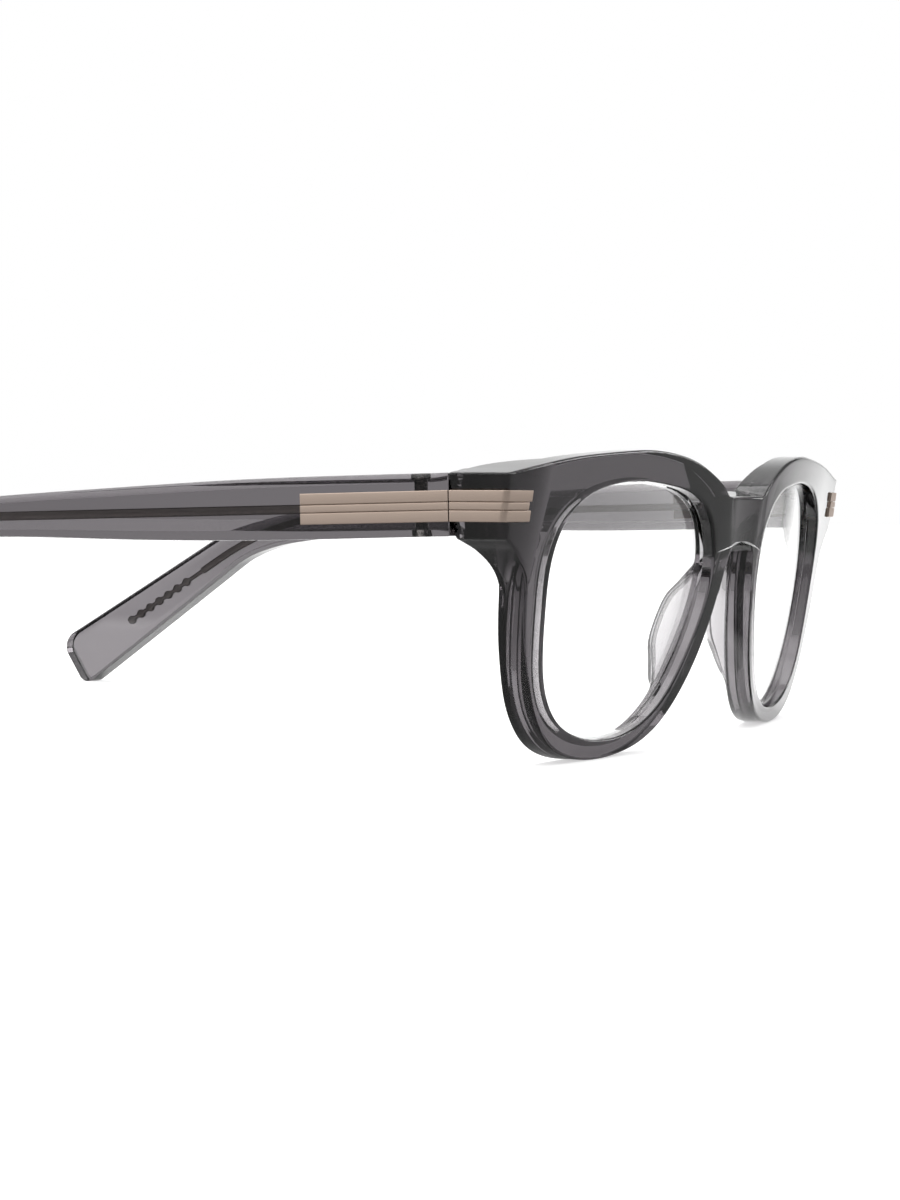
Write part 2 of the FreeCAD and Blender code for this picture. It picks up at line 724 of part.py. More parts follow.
def build():
    parts = {}
    prism = outline_prism()
    plate = prism.common(behind_front(0)).cut(behind_front(-rim_thickness))
    block = end_block().common(prism).common(behind_front(0))
    front = fuse_all([plate, block, mirrored(block)]).common(inside_side(0))

    opening = opening_face(0).extrude(Vector(0, split_back + 2 * overrun, 0))
    opening.translate(Vector(0, -overrun, 0))
    groove = lens_space(lens_bite + lens_clearance, lens_clearance)
    lens = lens_space(lens_bite, 0)

    half = trim_height / 2
    leaf = hinge_leaf()
    room = fit_clearance
    leaf_pocket = side_block((-pin_inset - tongue_thickness / 2 - room, -pin_inset + tongue_thickness / 2 + room),
                             (-leaf_length - room, overrun), (-tongue_height / 2 - room, tongue_height / 2 + room))
    front_pins, front_pin_holes = trim_pins([(-leaf_length * leaf_pin_shares[0], leaf_pin_offset),
                                             (-leaf_length * leaf_pin_shares[1], -leaf_pin_offset)])
    recess = corner_shell(overrun, -trim_inlay - room, -half - room, half + room, -room, overrun)
    cuts = [opening, groove, recess, on_side(leaf_pocket), on_side(front_pin_holes)]
    front = front.cut(bridge_facet())
    for tool in cuts:
        front = front.cut(tool).cut(mirrored(tool))
    parts["front_frame"] = front

    wire = core_wire()
    pins, pin_holes = trim_pins([(temple_trim_length * temple_pin_shares[0], temple_pin_offset),
                                 (temple_trim_length * temple_pin_shares[1], -temple_pin_offset)])
    pad = nose_pad().cut(prism.cut(behind_front(-rim_thickness)))
    left = {
        "lens": lens,
        "nose_pad": pad,
        "front_trim": front_trim(False),
        "front_trim_bar": front_trim(True),
        "front_trim_pins": on_side(front_pins),
        "hinge_leaf": on_side(leaf.cut(front_pin_holes)),
        "temple": on_side(temple_body(wire, pin_holes)),
        "core_wire": on_side(wire),
        "temple_trim": on_side(temple_trim(False)),
        "temple_trim_bar": on_side(temple_trim(True)),
        "temple_trim_pins": on_side(pins),
        "hinge_screw": on_side(hinge_screw()),
        "hinge_nut": on_side(hinge_nut()),
        "hinge_washers": on_side(hinge_washers()),
    }
    for name, shape in left.items():
        parts[name + "_left"] = shape
        parts[name + "_right"] = mirrored(shape)
    return parts


parts = build()
box = FreeCAD.BoundBox()
for shape in parts.values():
    box.add(shape.optimalBoundingBox(False))
seat = Vector(0, -(box.YMin + box.YMax) / 2, -box.ZMin)
axis_point = side_placement.multVec(Vector(-pin_inset, pin_back, 0)) + seat
axis = side_placement.Rotation.multVec(Vector(0, 0, 1))
print("hinge axis point", axis_point, "direction", axis)
print("size", box.XLength, box.YLength, box.ZLength, "seat", seat)
os.makedirs("parts", exist_ok=True)
for name, shape in parts.items():
    placed = shape.copy()
    placed.translate(seat)
    placed.exportStep("parts/" + name + ".step")
    print(name, "solids", len(placed.Solids), "volume", round(placed.Volume, 2), "valid", placed.isValid())
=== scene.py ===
# %% [markdown]
# These are clear grey acetate glasses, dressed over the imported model.
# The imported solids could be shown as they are, but their faces are coarse and their edges sharp.
# So they serve as the fixed frame: its bodies carry new pieces and its joints say where the hinges are.
# Every size is in millimetres, until one helper turns it into Blender's metres.

# %% Load the frame
import json
import math

import bmesh
import bpy
import numpy as np
from mathutils import Matrix, Vector


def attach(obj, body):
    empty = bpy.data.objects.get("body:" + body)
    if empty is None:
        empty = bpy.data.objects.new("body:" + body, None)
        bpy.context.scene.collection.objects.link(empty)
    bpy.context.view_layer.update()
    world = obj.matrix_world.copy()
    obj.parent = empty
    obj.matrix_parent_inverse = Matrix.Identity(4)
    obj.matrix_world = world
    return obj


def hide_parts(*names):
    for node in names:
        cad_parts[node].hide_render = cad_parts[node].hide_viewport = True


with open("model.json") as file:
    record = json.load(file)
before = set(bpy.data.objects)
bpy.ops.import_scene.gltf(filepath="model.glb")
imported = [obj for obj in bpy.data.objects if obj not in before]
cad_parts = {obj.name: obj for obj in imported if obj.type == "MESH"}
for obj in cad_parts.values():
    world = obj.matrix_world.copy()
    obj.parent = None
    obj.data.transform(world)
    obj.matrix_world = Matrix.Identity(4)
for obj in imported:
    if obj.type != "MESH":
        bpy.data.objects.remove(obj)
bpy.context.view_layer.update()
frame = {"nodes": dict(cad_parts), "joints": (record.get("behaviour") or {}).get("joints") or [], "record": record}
MM = 0.001
SIDES = (("left", False), ("right", True))

# %% [markdown]
# Colours are written the way a picture editor shows them, as sRGB hex, and one function makes them linear.
# Nodes could be laid by hand in the shader editor. Written down, they come out the same each time,
# so one helper adds a node, sets its options and inputs, and links whatever is given as a socket.

# %% Material helpers
def linear(hex_colour):
    """sRGB hex to linear RGBA: each channel is divided by 12.92 near black, else raised to 2.4."""
    channels = np.array([int(hex_colour[i:i + 2], 16) for i in (1, 3, 5)]) / 255
    low = channels / 12.92
    high = ((channels + 0.055) / 1.055) ** 2.4
    return (*np.where(channels <= 0.04045, low, high), 1.0)


def add_node(tree, kind, inputs=None, **settings):
    """Adds one node. A value of inputs that is a socket is linked, and any other is set."""
    node = tree.nodes.new(kind)
    for name, value in settings.items():
        setattr(node, name, value)
    for name, value in (inputs or {}).items():
        if isinstance(value, bpy.types.NodeSocket):
            tree.links.new(value, node.inputs[name])
        else:
            node.inputs[name].default_value = value
    return node


def new_material(name):
    """An empty material and its node tree."""
    material = bpy.data.materials.new(name)
    material.use_nodes = True
    material.node_tree.nodes.clear()
    return material, material.node_tree


def finish_material(tree, surface, volume=None):
    """The material's output: its skin and, for clear plastic, its inside."""
    output = add_node(tree, "ShaderNodeOutputMaterial", {"Surface": surface})
    if volume is not None:
        tree.links.new(volume, output.inputs["Volume"])


print("mid grey #808080 is", round(float(linear("#808080")[0]), 3), "in linear light")

# %% [markdown]
# The frame is cut from a sheet of clear grey cellulose acetate and tumbled until it shines.
# Tinted glass would be quicker, but its colour sits on the skin. Real acetate is grey all through,
# so light is absorbed on its way inside and thick parts come out darker.
# Tumbling leaves the faces a little uneven, which a faint slow bump gives.
# The demo lenses are moulded from clear plastic without a tint.

# %% Acetate and lenses
RIPPLES_PER_METRE, RIPPLE_STRENGTH, RIPPLE_HEIGHT = 140.0, 0.006, 0.0004  # one ripple in about 7 mm
ACETATE_GREY, ACETATE_IOR, LENS_IOR = "#8e878d", 1.49, 1.5


def polished_acetate(name, density):
    """Light left after a way through it: exp(-density * (1 - grey) * way), in each channel."""
    material, tree = new_material(name)
    place = add_node(tree, "ShaderNodeTexCoord")
    ripple = add_node(tree, "ShaderNodeTexNoise",
                      {"Vector": place.outputs["Object"], "Scale": RIPPLES_PER_METRE, "Detail": 1.0})
    bump = add_node(tree, "ShaderNodeBump", {"Strength": RIPPLE_STRENGTH, "Distance": RIPPLE_HEIGHT,
                                             "Height": ripple.outputs["Fac"]})
    shader = add_node(tree, "ShaderNodeBsdfPrincipled",
                      {"Base Color": (1, 1, 1, 1), "Roughness": 0.0, "IOR": ACETATE_IOR,
                       "Transmission Weight": 1.0, "Normal": bump.outputs["Normal"]})
    absorb = add_node(tree, "ShaderNodeVolumeAbsorption",
                      {"Color": linear(ACETATE_GREY), "Density": density})
    finish_material(tree, shader.outputs["BSDF"], absorb.outputs["Volume"])
    return material


def clear_lens():
    """Clear polished plastic."""
    material, tree = new_material("clear demo lens")
    shader = add_node(tree, "ShaderNodeBsdfPrincipled",
                      {"Base Color": (1, 1, 1, 1), "Roughness": 0.0, "IOR": LENS_IOR,
                       "Transmission Weight": 1.0})
    finish_material(tree, shader.outputs["BSDF"])
    return material


acetate = polished_acetate("tumbled clear grey cellulose acetate of the front", 680.0)
arm_acetate = polished_acetate("tumbled clear grey cellulose acetate of the temples", 590.0)
pad_acetate = polished_acetate("tumbled nearly clear acetate of the nose pads", 420.0)
lens_glass = clear_lens()
print("clear materials:", acetate.name, "/", arm_acetate.name, "/", pad_acetate.name, "/", lens_glass.name)

# %% [markdown]
# The trims are brass, finely brushed and plated in a satin champagne tone.
# The hinge is nickel plated steel, and the core wire is drawn nickel silver.
# A picture of brushed metal could be wrapped round them. A plain metal with a fine grain is enough here,
# because each trim is only 4 mm high: the grain spreads the light, and no single stroke can be seen.

# %% Metals
GRAINS_PER_METRE, GRAIN_STRENGTH, GRAIN_HEIGHT = 4000.0, 0.05, 0.00005  # one grain in 0.25 mm


def metal(name, colour, roughness):
    """Metal of one colour with a fine grain."""
    material, tree = new_material(name)
    place = add_node(tree, "ShaderNodeTexCoord")
    grain = add_node(tree, "ShaderNodeTexNoise",
                     {"Vector": place.outputs["Object"], "Scale": GRAINS_PER_METRE, "Detail": 2.0})
    bump = add_node(tree, "ShaderNodeBump", {"Strength": GRAIN_STRENGTH, "Distance": GRAIN_HEIGHT,
                                             "Height": grain.outputs["Fac"]})
    shader = add_node(tree, "ShaderNodeBsdfPrincipled",
                      {"Base Color": linear(colour), "Roughness": roughness, "Metallic": 1.0,
                       "Normal": bump.outputs["Normal"]})
    finish_material(tree, shader.outputs["BSDF"])
    return material


champagne = metal("satin champagne plating", "#c3b1a4", 0.5)
steel = metal("nickel plated steel", "#b9b6b2", 0.25)
wire_metal = metal("drawn nickel silver", "#6b6663", 0.3)
FINISHES = {"acetate": acetate, "lens": lens_glass, "champagne_metal": champagne, "wire": wire_metal,
            "steel": steel}
print("finishes", sorted(FINISHES))

# %% [markdown]
# These sizes drive the frame: the eye openings, the rims round them, the bridge and the end pieces.
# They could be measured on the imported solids, but named values are easier to follow and to change.
# The temples lean out and down from the front, so one function turns a point of the temple's own frame
# into one of the glasses. The hinge pin's place comes from the frame's joint, so that every surface
# lands where the solids are.

# %% Main sizes
OPENING_WIDTH, OPENING_HEIGHT, BRIDGE_GAP = 44.3, 35.4, 19.9
RIM_TOP, RIM_BOTTOM, RIM_NOSE, RIM_TEMPLE, RIM_THICKNESS = 4.3, 2.65, 2.6, 4.9, 4.0
BRIDGE_TOP, BRIDGE_HEIGHT, BRIDGE_FLAT = 36.0, 6.7, 6.9
END_REACH, END_HEIGHT, END_THICKNESS, CORNER_FORWARD = 13.15, 8.5, 4.3, 8.25
HINGE_HEIGHT, SPLIT_BACK, SPLIT_GAP, PIN_BACK, PIN_INSET = 34.7, 14.35, 0.16, 4.5, 2.4
SPLAY, SLOPE = math.radians(3.37), math.radians(1.54)
EDGE_ROUND, END_ROUND = 0.35, 0.12

RIM_CENTRE = np.array([(BRIDGE_GAP + OPENING_WIDTH) / 2, RIM_BOTTOM + OPENING_HEIGHT / 2])
RIM_X, RIM_Z = RIM_CENTRE
HALF_WIDTH = RIM_X + OPENING_WIDTH / 2 + END_REACH
HALF_OPENING = np.array([OPENING_WIDTH, OPENING_HEIGHT]) / 2
HALF_NOSE, HALF_TEMPLE = HALF_OPENING[0] + RIM_NOSE, HALF_OPENING[0] + RIM_TEMPLE
HALF_TOP, HALF_BOTTOM = HALF_OPENING[1] + RIM_TOP, HALF_OPENING[1] + RIM_BOTTOM
CORNER_X = HALF_WIDTH - CORNER_FORWARD * math.tan(SPLAY)
END_TOP, END_FOOT = HINGE_HEIGHT + END_HEIGHT / 2, HINGE_HEIGHT - END_HEIGHT / 2
ARCH_Z = BRIDGE_TOP - BRIDGE_HEIGHT


def side_point(out, back, up):
    """Point of the left temple's frame: turned down by the slope, out by the splay, moved to the split."""
    out, back, up = np.broadcast_arrays(out, back, up)
    level = back * math.cos(SLOPE) + up * math.sin(SLOPE)
    height = up * math.cos(SLOPE) - back * math.sin(SLOPE)
    x = out * math.cos(SPLAY) + level * math.sin(SPLAY)
    y = level * math.cos(SPLAY) - out * math.sin(SPLAY)
    return np.stack([x + HALF_WIDTH, y + SPLIT_BACK, height + HINGE_HEIGHT], -1)


left_fold = next(joint for joint in frame["joints"] if joint["name"] == "left_temple_fold")
SEAT = np.array(left_fold["pos_m"]) / MM - side_point(-PIN_INSET, PIN_BACK, 0.0)
print("the glasses stand moved by", SEAT.round(3), "mm")

# %% [markdown]
# A designer draws the outlines of such a frame as smooth curves through a few points.
# Blender's curve objects could do that too, but here the cubics are solved with numpy,
# because the surfaces need the curve as plain points. Slope and bend agree where two spans meet,
# so that no kink shows in the polish.

# %% Smooth curves
def smooth_curve(points, start=None, end=None, closed=False, samples=40):
    """Cubic spline by chord length. Slopes m solve h1*m0 + 2*(h0+h1)*m1 + h0*m2 = 3*(h1*d0 + h0*d1)."""
    points = np.asarray(points, float)
    if closed:
        points = np.vstack([points, points[:1]])
    steps = np.linalg.norm(np.diff(points, axis=0), axis=1)
    rates = np.diff(points, axis=0) / steps[:, None]
    count = len(points)
    matrix, right = np.zeros((count, count)), np.zeros_like(points)
    inner = np.arange(1, count - 1)
    matrix[inner, inner - 1] = steps[1:]
    matrix[inner, inner] = 2 * (steps[1:] + steps[:-1])
    matrix[inner, inner + 1] = steps[:-1]
    right[inner] = 3 * (steps[1:, None] * rates[:-1] + steps[:-1, None] * rates[1:])
    if closed:
        matrix[0, 0], matrix[0, 1], matrix[0, -2] = 2 * (steps[0] + steps[-1]), steps[-1], steps[0]
        right[0] = 3 * (steps[0] * rates[-1] + steps[-1] * rates[0])
        matrix[-1, 0], matrix[-1, -1] = 1, -1
    else:
        matrix[0, 0], matrix[-1, -1] = 1, 1
        right[0], right[-1] = start / np.linalg.norm(start), end / np.linalg.norm(end)
    slopes = np.linalg.solve(matrix, right)
    u = (np.arange(samples) / samples)[None, :, None]
    m0, m1 = slopes[:-1, None] * steps[:, None, None], slopes[1:, None] * steps[:, None, None]
    spans = (points[:-1, None] * (1 + 2 * u) * (1 - u) ** 2 + m0 * u * (1 - u) ** 2
             + points[1:, None] * u ** 2 * (3 - 2 * u) + m1 * u ** 2 * (u - 1))
    curve = spans.reshape(-1, points.shape[1])
    return curve if closed else np.vstack([curve, points[-1:]])


def arc_points(centre, radius, first, last, count=40):
    """Points of an arc: centre + radius * (cos, sin) of even angles."""
    turn = np.linspace(first, last, count)
    return centre + radius * np.stack([np.cos(turn), np.sin(turn)], -1)


def through_three(a, b, c):
    """Circular arc through three flat points: its centre is as far from each of them."""
    a, b, c = (np.asarray(p, float) for p in (a, b, c))
    centre = np.linalg.solve(np.array([b - a, c - b]), [(b @ b - a @ a) / 2, (c @ c - b @ b) / 2])
    turn = np.unwrap([math.atan2(p[1] - centre[1], p[0] - centre[0]) for p in (a, b, c)])
    return arc_points(centre, np.linalg.norm(a - centre), turn[0], turn[2])


ring = smooth_curve([(1, 0), (0, 1), (-1, 0), (0, -1)], closed=True)
print("a ring through four points is round to", abs(np.linalg.norm(ring, axis=1) - 1).max().round(3))

# %% [markdown]
# Tumbling wears every corner of the sheet a little round, so a corner is averaged with its neighbours.
# A surface's columns could stand evenly along an outline. Standing closer where it turns,
# they keep the bends round and spend few faces on straight runs.

# %% Points along a curve
FINE_STEP, COARSE_STEP = 0.05, 0.1
ROUND_SHARE = 0.7  # of an outline's own radius, past which an edge's round would fold over


def run_of(curve):
    """Distance along a polyline at each of its points."""
    return np.concatenate([[0], np.cumsum(np.linalg.norm(np.diff(curve, axis=0), axis=1))])


def at_runs(curve, measure, stops):
    """Points of a polyline where its measure reaches each stop."""
    return np.stack([np.interp(stops, measure, curve[:, i]) for i in range(curve.shape[1])], -1)


def evenly(curve, spacing):
    """The same polyline with even steps."""
    run = run_of(curve)
    return at_runs(curve, run, np.linspace(0, run[-1], int(run[-1] / spacing) + 1))


def worn(curve, reach):
    """Corners rounded: each point of an even polyline is the mean of its neighbours up to the reach."""
    spacing = np.linalg.norm(curve[1] - curve[0])
    side = max(int(reach / spacing), 1)
    padded = np.vstack([2 * curve[0] - curve[side:0:-1], curve, 2 * curve[-1] - curve[-2:-side - 2:-1]])
    window = np.ones(2 * side + 1) / (2 * side + 1)
    return np.stack([np.convolve(padded[:, i], window, "valid") for i in range(curve.shape[1])], -1)


def turn_of(curve):
    """Angle of a flat polyline's direction at each point, from its two neighbours."""
    run = np.gradient(curve, axis=0)
    return np.unwrap(np.arctan2(run[:, 1], run[:, 0]))


def stations(curve, count, turn_weight=3.0):
    """Points along a polyline, closer where it turns, and the normals to its left.

    They stand at even steps of the distance plus the weight times the angle turned.
    """
    measure = run_of(curve) + turn_weight * np.concatenate([[0], np.cumsum(np.abs(np.diff(turn_of(curve))))])
    stops = np.linspace(0, measure[-1], count)
    turn = np.interp(stops, measure, turn_of(curve))
    return at_runs(curve, measure, stops), np.stack([-np.sin(turn), np.cos(turn)], -1)


def fitting_round(edge, radius):
    """Edge radius by column, never more than ROUND_SHARE of the outline's own radius: distance over turn."""
    step = np.linalg.norm(np.gradient(edge, axis=0), axis=1)
    turn = np.abs(np.gradient(turn_of(edge)))
    own = step / np.maximum(turn, 1e-9)
    own = np.min([np.roll(own, shift) for shift in range(-2, 3)], axis=0)
    return np.minimum(radius, ROUND_SHARE * own)


def soft_step(share):
    """Share from 0 to 1 with a level start and end: share ** 2 * (3 - 2 * share)."""
    return share * share * (3 - 2 * share)


print("a corner worn by 0.4 mm is cut by",
      np.linalg.norm(worn(evenly(np.array([(-2.0, 0.0), (0.0, 0.0), (0.0, 2.0)]), FINE_STEP), 0.4), axis=1)
      .min().round(2), "mm")

# %% [markdown]
# The front and the temples are both sheets with rounded edges. A box with a bevel could stand for them,
# but here a section is carried round the outline, so that each edge gets its own radius.
# It is one grid: each column is a closed loop round the section, from the near face over edge b,
# the far face and edge a back to its start. The faces are functions of the place in the outline,
# so columns only carry the outline and never bend the surface.

# %% Slab with rounded edges
ROUND_STEPS = 5
WALL_SHARES = (0.02, 0.1, 0.35, 0.65, 0.9, 0.98, 1.0)


def quarter_round(rising):
    """Inset and sink of a quarter circle of radius 1: 1 - sin(t) and 1 - cos(t) at even angles t."""
    turn = np.linspace(0, math.pi / 2, ROUND_STEPS + 1)[1:]
    if not rising:
        turn = turn[::-1] - math.pi / 2 / ROUND_STEPS
    return [(1 - math.sin(t), 1 - math.cos(t)) for t in turn]


def slab_grid(a, a_out, b, b_out, near, far, radii, near_shares, far_shares, a_wall, b_wall):
    """Rows of points (u, v, depth). Radii are those of a near, a far, b near and b far, each by column."""
    a_near, a_far, b_near, b_far = (np.broadcast_to(r, len(a))[:, None] for r in radii)
    rows = []

    def face_rows(first, last, face, shares):
        """Straight from the first edge to the last, each point at the face's depth."""
        for share in shares:
            flat = first * (1 - share) + last * share
            rows.append(np.column_stack([flat, face(flat)]))

    def round_rows(edge, out, radius, face, inwards, rising):
        """Quarter round of an edge, sunk from its face."""
        for inset, sink in quarter_round(rising):
            flat = edge - out * radius * inset
            rows.append(np.column_stack([flat, face(flat) + inwards * radius[:, 0] * sink]))

    face_rows(a - a_out * a_near, b - b_out * b_near, near, near_shares)
    round_rows(b, b_out, b_near, near, 1, True)
    rows += b_wall(b, b_out, near(b) + b_near[:, 0], far(b) - b_far[:, 0])
    round_rows(b, b_out, b_far, far, -1, False)
    face_rows(b - b_out * b_far, a - a_out * a_far, far, far_shares)
    wall_start = len(rows)
    round_rows(a, a_out, a_far, far, -1, True)
    rows += a_wall(a, a_out, far(a) - a_far[:, 0], near(a) + a_near[:, 0])
    round_rows(a, a_out, a_near, near, 1, False)
    return np.array(rows), wall_start


def plain_wall(edge, out, first, last):
    """Straight wall from the first depth to the last, with a row close to each round to hold it flat."""
    return [np.column_stack([edge, first + (last - first) * share]) for share in WALL_SHARES]


def grid_faces(rows, columns, closed_rows, closed_columns, dropped=None):
    """Quads between neighbours of a grid whose points are numbered row by row."""
    r = np.arange(rows if closed_rows else rows - 1)
    c = np.arange(columns if closed_columns else columns - 1)
    r, c = (part.ravel() for part in np.meshgrid(r, c, indexing="ij"))
    if dropped is not None:
        r, c = r[~dropped(r, c)], c[~dropped(r, c)]
    r1, c1 = (r + 1) % rows, (c + 1) % columns
    return np.stack([r * columns + c, r * columns + c1, r1 * columns + c1, r1 * columns + c], -1)


print("a section of two plain walls has", 4 * ROUND_STEPS + 2 * len(WALL_SHARES), "rows besides its faces")

# %% [markdown]
# A grid of points becomes a piece of the glasses in two steps. Its mesh is closed and turned outwards,
# and then it gets its finish, rides on its body, and the solids it stands for are hidden.
# Blender's Merge and Recalculate Outside commands do the same by hand. In a function no piece is missed.

# %% From points to a piece
MERGE_DISTANCE = 0.002
SHARP_ANGLE, BAR_SHARP_ANGLE, HINGE_SHARP_ANGLE, WIRE_SHARP_ANGLE = 38.0, 30.0, 32.0, 50.0


def new_object(name, data):
    """An object in the scene, at the origin."""
    thing = bpy.data.objects.new(name, data)
    bpy.context.collection.objects.link(thing)
    return thing


def closed_mesh(name, points, faces):
    """Mesh with its doubles merged and its faces turned outwards, and how many of its edges are open."""
    mesh = bpy.data.meshes.new(name)
    mesh.from_pydata(points, [], faces)
    work = bmesh.new()
    work.from_mesh(mesh)
    bmesh.ops.remove_doubles(work, verts=work.verts, dist=MERGE_DISTANCE * MM)
    loose = [vertex for vertex in work.verts if not vertex.link_faces]
    bmesh.ops.delete(work, geom=loose, context="VERTS")
    bmesh.ops.recalc_face_normals(work, faces=work.faces)
    open_edges = sum(1 for edge in work.edges if len(edge.link_faces) != 2)
    work.to_mesh(mesh)
    work.free()
    return mesh, open_edges


def dress(name, mesh, finish, body, nodes, sharp):
    """Piece of a mesh, smooth up to the sharp angle, with its finish, on its body, in place of its nodes."""
    mesh.shade_smooth()
    mesh.set_sharp_from_angle(angle=math.radians(sharp))
    mesh.materials.append(finish)
    piece = new_object(name, mesh)
    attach(piece, body)
    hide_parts(*nodes)
    return piece


def make_piece(name, points, faces, finish, body, nodes, mirror=False, both=False, sharp=SHARP_ANGLE):
    """Piece of a grid in millimetres: as it is, mirrored, or joined with its mirror image."""
    points = (np.asarray(points).reshape(-1, 3) + SEAT) * MM
    if mirror:
        points = points * [-1, 1, 1]
    if both:
        faces = np.vstack([faces, faces[:, ::-1] + len(points)])
        points = np.vstack([points, points * [-1, 1, 1]])
    mesh, open_edges = closed_mesh(name, points, faces.tolist())
    piece = dress(name, mesh, finish, body, nodes, sharp)
    print(name, "faces", len(mesh.polygons), "open edges", open_edges)
    return piece


print("points closer than", MERGE_DISTANCE, "mm become one")

# %% [markdown]
# The front is one sheet of acetate, bent hot over the nose and leaning forward.
# Seen from above its face is an arc over the nose and a very flat arc over each eye.
# A hollow facet is milled across the bridge, deeper at its top than at its foot.
# A flat sheet could be bent by a modifier, but as a formula the depth of the face is known at every point,
# and the lenses, pads and trims can be set on it exactly.

# %% Face of the front
NOSE_RADIUS, NOSE_HALF, FACE_RADIUS, LEAN = 82.0, 9.5, 1170.0, math.radians(7.97)
FACET_RADIUS, FACET_TOP, FACET_FOOT = 48.0, 0.74, 0.42
NOSE_TURN = math.asin(NOSE_HALF / NOSE_RADIUS)
FACE_CENTRE = (NOSE_HALF - FACE_RADIUS * math.sin(NOSE_TURN),
               NOSE_RADIUS + (FACE_RADIUS - NOSE_RADIUS) * math.cos(NOSE_TURN))


def plan_depth(x, behind):
    """Depth of the plate, moved back by behind: arc of the nose inside the joint, flat arc outside it."""
    x = np.abs(x)
    nose, face = NOSE_RADIUS - behind, FACE_RADIUS - behind
    joint = nose * math.sin(NOSE_TURN)
    inside = NOSE_RADIUS - np.sqrt(nose ** 2 - np.minimum(x, joint) ** 2)
    outside = FACE_CENTRE[1] - np.sqrt(face ** 2 - (x - FACE_CENTRE[0]) ** 2)
    return np.where(x <= joint, inside, outside)


def leaning_y(depth, z):
    """Y of a point at this depth of the leaning frame and this height over the table."""
    own_height = (z - RIM_Z - depth * math.sin(LEAN)) / math.cos(LEAN)
    return depth * math.cos(LEAN) - own_height * math.sin(LEAN)


def plate_y(x, z, behind=0.0):
    """Y of the bent plate: its depth in plan, leaned."""
    return leaning_y(plan_depth(x, behind), z)


def facet_y(x, z):
    """Hollow of the bridge: a cylinder whose middle lies deeper from the foot to the top."""
    rise = (z - ARCH_Z) / BRIDGE_HEIGHT
    middle = FACET_FOOT + (FACET_TOP - FACET_FOOT) * rise
    hollow = np.sqrt(FACET_RADIUS ** 2 - np.minimum(np.abs(x), FACET_RADIUS) ** 2)
    return leaning_y(middle - FACET_RADIUS + hollow, z)


def front_face(flat):
    """Near face: the deeper of the plate and the facet."""
    return np.maximum(plate_y(flat[:, 0], flat[:, 1]), facet_y(flat[:, 0], flat[:, 1]))


bow_of_face = float(plate_y(HALF_WIDTH, RIM_Z) - plate_y(0.0, RIM_Z))
print("the face lies", round(bow_of_face, 2), "mm deeper at its end than over the nose")

# %% [markdown]
# At each side the plate grows into a thick end piece, which takes the hinge.
# A block could be joined to the plate, which leaves a seam. Here the back of the front is
# the deeper of two surfaces, the plate's back and the end piece's, so both are one clean skin.
# The end piece's inner side bends from the rim to the split, and a hollow arc sweeps down under it.

# %% End piece
SHOULDER_DEPTH, BLOCK_REACH, BLOCK_STEP, BLOCK_LIP = 3.3, 9.5, 0.6, 0.3
BLOCK_MIDDLE = (0.62, 0.9)  # shares of the reach and of the shoulder's depth
UNDERARM_DROP, UNDERARM_BACK, UNDERARM_SAG = 9.0, 3.1, -1.5
SPLIT = -SPLIT_GAP / 2
END_PLAN = through_three(
    (-END_THICKNESS - BLOCK_REACH, SPLIT - SHOULDER_DEPTH - PIN_BACK),
    (-END_THICKNESS - BLOCK_REACH * BLOCK_MIDDLE[0], SPLIT - SHOULDER_DEPTH * BLOCK_MIDDLE[1]),
    (-END_THICKNESS - BLOCK_LIP, SPLIT - BLOCK_STEP))
END_PLAN = np.vstack([END_PLAN, [(-END_THICKNESS, SPLIT), (HALF_WIDTH, SPLIT)]])
UNDER_START = np.array([SPLIT_BACK, END_FOOT])
UNDER_END = UNDER_START - [UNDERARM_BACK, UNDERARM_DROP]
UNDER_MIDDLE = (UNDER_START + UNDER_END) / 2 + np.array([UNDERARM_SAG, -UNDERARM_SAG]) / math.sqrt(2)
UNDER_ARC = through_three(UNDER_END, UNDER_MIDDLE, UNDER_START)


def end_y(x, z):
    """Back of the end piece: its plan in the temple's frame, cut by the arc under it."""
    up = (z - HINGE_HEIGHT) / math.cos(SLOPE)
    out = (x - HALF_WIDTH) / math.cos(SPLAY)
    back = np.interp(out, END_PLAN[:, 0], END_PLAN[:, 1], left=-SPLIT_BACK)
    block = side_point(out, back, up)[..., 1]
    under = np.interp(z, UNDER_ARC[:, 1], UNDER_ARC[:, 0], left=-SPLIT_BACK, right=2 * SPLIT_BACK)
    return np.minimum(block, under)


def back_face(flat):
    """Far face: the deeper of the plate's back and the end piece's."""
    x, z = flat[:, 0], flat[:, 1]
    return np.maximum(plate_y(x, z, RIM_THICKNESS), end_y(x, z))


print("the end piece's inner side bends over", round(BLOCK_REACH - BLOCK_LIP, 1), "mm")

# %% [markdown]
# The eye shape is a soft panto, flatter over the brow, and the rim is wider at the temple than at the nose.
# The outlines could be traced as long lists of points. A few points as shares of the opening's
# or the rim's half size are enough, and they grow with it when a size is changed.

